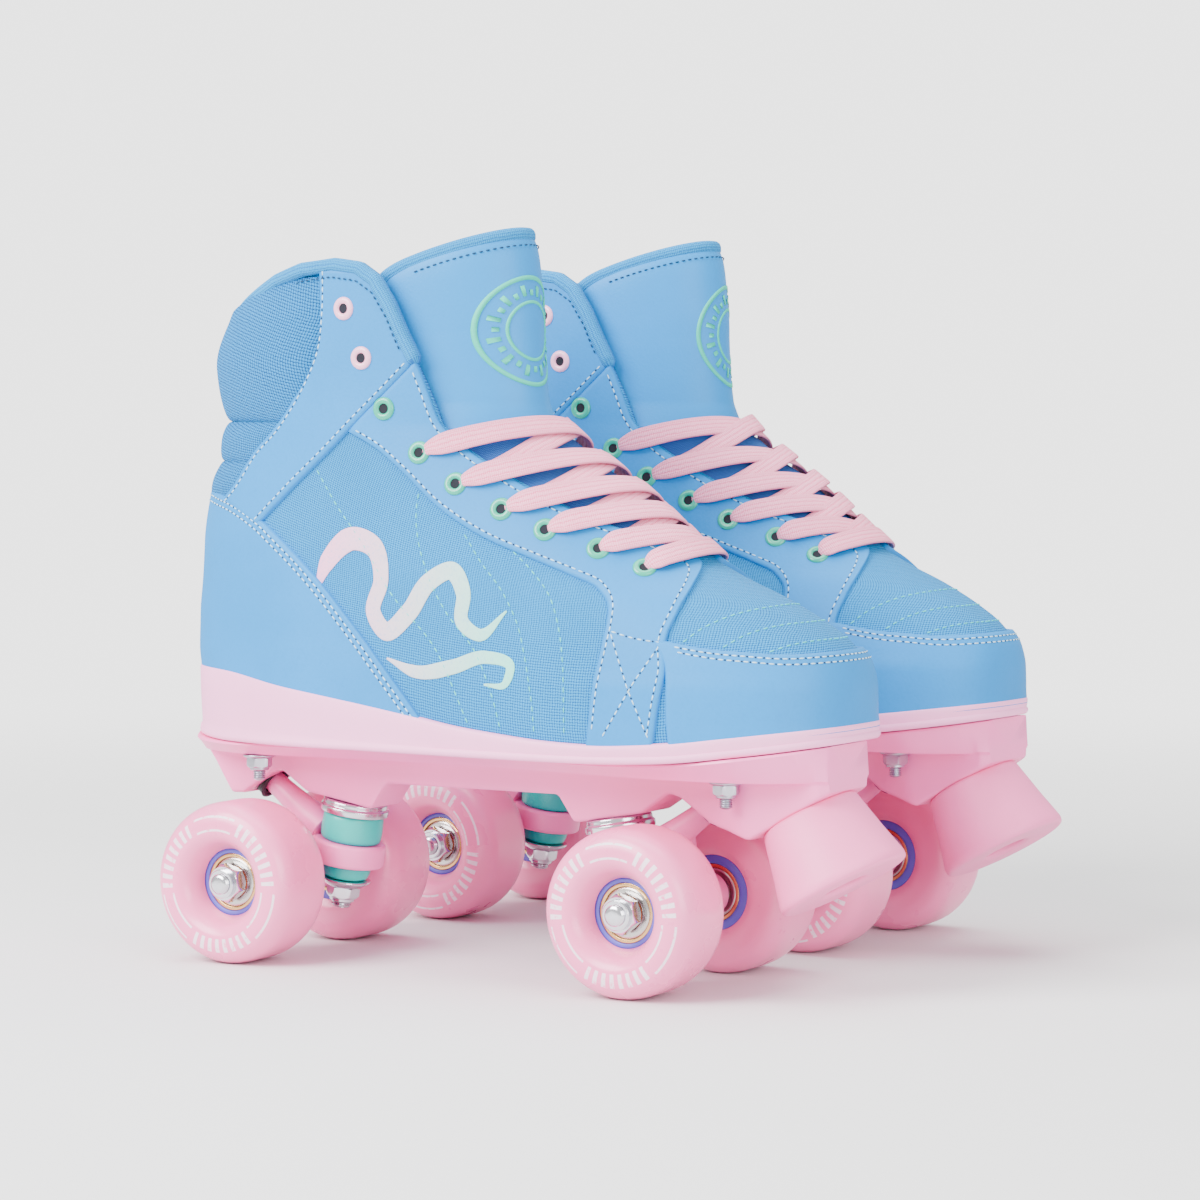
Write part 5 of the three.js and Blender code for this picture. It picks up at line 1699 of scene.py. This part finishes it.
def side_ribbon(shape, line, widths, lift=0.16):
    """A flat film along a side-view line on the outer side, as wide as the table of widths says."""
    fine = curve(line, RIBBON_STEPS)
    phi = -phi_at(fine[:, 0], fine[:, 1])
    on = boot(phi, fine[:, 1], np.full(len(phi), lift))
    wide = np.interp(np.linspace(0, 1, RIBBON_STEPS), np.linspace(0, 1, len(widths)), widths)
    deep = np.full(RIBBON_STEPS, RIBBON_THICK)
    ring, uv = tube(on, surface_normal(phi, fine[:, 1]), wide, deep, 16, 3.0)
    shape.grid(ring, wrap_columns=True, uv=uv)


WAVES = [
    [-51, 143], [-45, 155], [-34, 163], [-24, 160], [-20, 148], [-23, 136], [-17, 129], [-7, 136],
    [2, 148], [11, 152], [17, 144], [17, 134], [25, 129], [36, 138]
]
WAVES_WIDE = [1.4, 7.4, 9.2, 8.2, 7.0, 6.8, 7.0, 7.6, 7.6, 7.0, 6.4, 5.8, 4.4, 0.8]
TAIL = [[-16, 119], [-2, 114.5], [14, 117], [28, 121], [39, 118], [37, 111.5], [28, 111]]
TAIL_WIDE = [0.8, 4.6, 5.8, 5.4, 4.6, 3.6, 0.8]
print_shape = Shape()
side_ribbon(print_shape, WAVES, WAVES_WIDE)
side_ribbon(print_shape, TAIL, TAIL_WIDE)
piece("side_ribbon_print", print_shape, ribbon_finish())

# %% The ring badge on the tongue
BADGE_Z, BADGE_PHI = 241.0, -np.pi + 0.16
# millimetres of the flat drawing to one radian round the tongue
BADGE_MM_PER_RADIAN = 32.0
BADGE_TICKS, TICK_HALF_ANGLE = 24, 0.06


def on_tongue(across, up, out):
    """A flat drawing in mm laid on the front of the tongue."""
    return tongue_point(BADGE_PHI + across / BADGE_MM_PER_RADIAN, BADGE_Z + up, out)


def film(shape, low, high, start, stop, count=96):
    """Part of a flat ring on the badge, closed all round."""
    angle = np.linspace(start, stop, count)[None, :]
    radius, height = np.array([low, low, high, high])[:, None], np.array([3.5, 4.0, 4.0, 3.5])[:, None]
    points = on_tongue(radius * np.cos(angle), radius * np.sin(angle), height + 0 * angle)
    shape.grid(points, wrap_rows=True)
    for k in (0, -1):
        shape.grid(points[:, k].reshape(2, 2, 3))


badge = Shape()
film(badge, 19.2, 20.8, 0, 2 * np.pi, 160)
film(badge, 10.4, 11.6, 0, 2 * np.pi, 120)
for tick in range(BADGE_TICKS):
    at = 2 * np.pi * tick / BADGE_TICKS
    film(badge, 13.4, 17.4 if tick % 2 else 15.6, at - TICK_HALF_ANGLE, at + TICK_HALF_ANGLE, 4)
piece("tongue_badge", badge, moulded("badge_print", srgb(14, 190, 160), 0.55, drift=0.05))

# %% [markdown]
# # Camera, light and floor
# The skates stand on a plain pale floor that runs on into the background. A bright even sky and three large
# soft lamps light them, as in a catalogue picture.

# %% Camera
CAMERA_PLACE, CAMERA_AIM = [755.56, -1202.60, 214.79], [41.74, 15.25, 139.62]
SENSOR_WIDTH, FOCAL_LENGTH = 36, 112.61
# the sky's strength, and how much is added where the camera looks straight at it
SKY, SKY_SEEN = 1.1, 1.97
# name, place in metres, width in metres and power in watts
LAMPS = (
    ("key", (-0.6, -1.3, 1.1), 1.1, 78),
    ("fill", (1.5, -0.9, 0.6), 1.0, 24),
    ("top", (-0.1, 0.2, 1.6), 1.4, 34),
)
LAMPS_AIM = (0, 0, 0.1)
# half the floor's width, and the distances at which it has faded away and is still whole
FLOOR_REACH, FLOOR_STEPS = 1.6, 24
FADED_AT, WHOLE_AT = 1.25, 0.3


def set_scene():
    camera_data = bpy.data.cameras.new("camera")
    camera_data.sensor_width, camera_data.lens = SENSOR_WIDTH, FOCAL_LENGTH
    camera = bpy.data.objects.new("camera", camera_data)
    bpy.context.scene.collection.objects.link(camera)
    eye = placed(CAMERA_PLACE, "right")
    target = placed(CAMERA_AIM, "right")
    camera.location = eye
    camera.rotation_euler = Vector(target - eye).to_track_quat("-Z", "Y").to_euler()
    bpy.context.scene.camera = camera
    world = bpy.data.worlds.new("studio")
    world.use_nodes = True
    n = Nodes(world.node_tree)
    background = world.node_tree.nodes["Background"]
    background.inputs[0].default_value = (1, 1, 1, 1)
    # the paper behind the skates is a little brighter than the light that it gives back
    seen = n.math("MULTIPLY", n("LightPath").outputs["Is Camera Ray"], SKY_SEEN)
    link(n, n.math("ADD", seen, SKY), background.inputs[1])
    bpy.context.scene.world = world
    for name, place, size, power in LAMPS:
        data = bpy.data.lights.new(name, "AREA")
        data.size, data.energy = size, power
        lamp = bpy.data.objects.new(name, data)
        lamp.location = place
        lamp.rotation_euler = (Vector(LAMPS_AIM) - Vector(place)).to_track_quat("-Z", "Y").to_euler()
        bpy.context.scene.collection.objects.link(lamp)


set_scene()
s = np.linspace(-FLOOR_REACH, FLOOR_REACH, FLOOR_STEPS)
floor_x, floor_y = np.meshgrid(s, s)
floor_mesh = bpy.data.meshes.new("floor")
floor_mesh.from_pydata(
    np.stack([floor_x, floor_y, floor_x * 0], -1).reshape(-1, 3).tolist(), [],
    grid_faces(FLOOR_STEPS, FLOOR_STEPS)[:, ::-1].tolist()
)
floor = bpy.data.objects.new("floor", floor_mesh)
bpy.context.scene.collection.objects.link(floor)


def floor_finish():
    """Pale paper that fades away with distance, so that it runs on into the background."""
    material, n, bsdf = start_material("studio_floor", Roughness=0.85)
    place = n("TexCoord").outputs["Object"]
    cloud = use(n, CLOUDY, place, Size=3.0)
    link(n, n.mix(cloud.outputs["Slow"], srgb(225, 225, 225), srgb(227, 227, 227)), bsdf.inputs["Base Color"])
    away = n("VectorMath", {0: place}, operation="LENGTH").outputs["Value"]
    link(n, n.ramp(away, FADED_AT, WHOLE_AT), bsdf.inputs["Alpha"])
    return material


floor.data.materials.append(floor_finish())
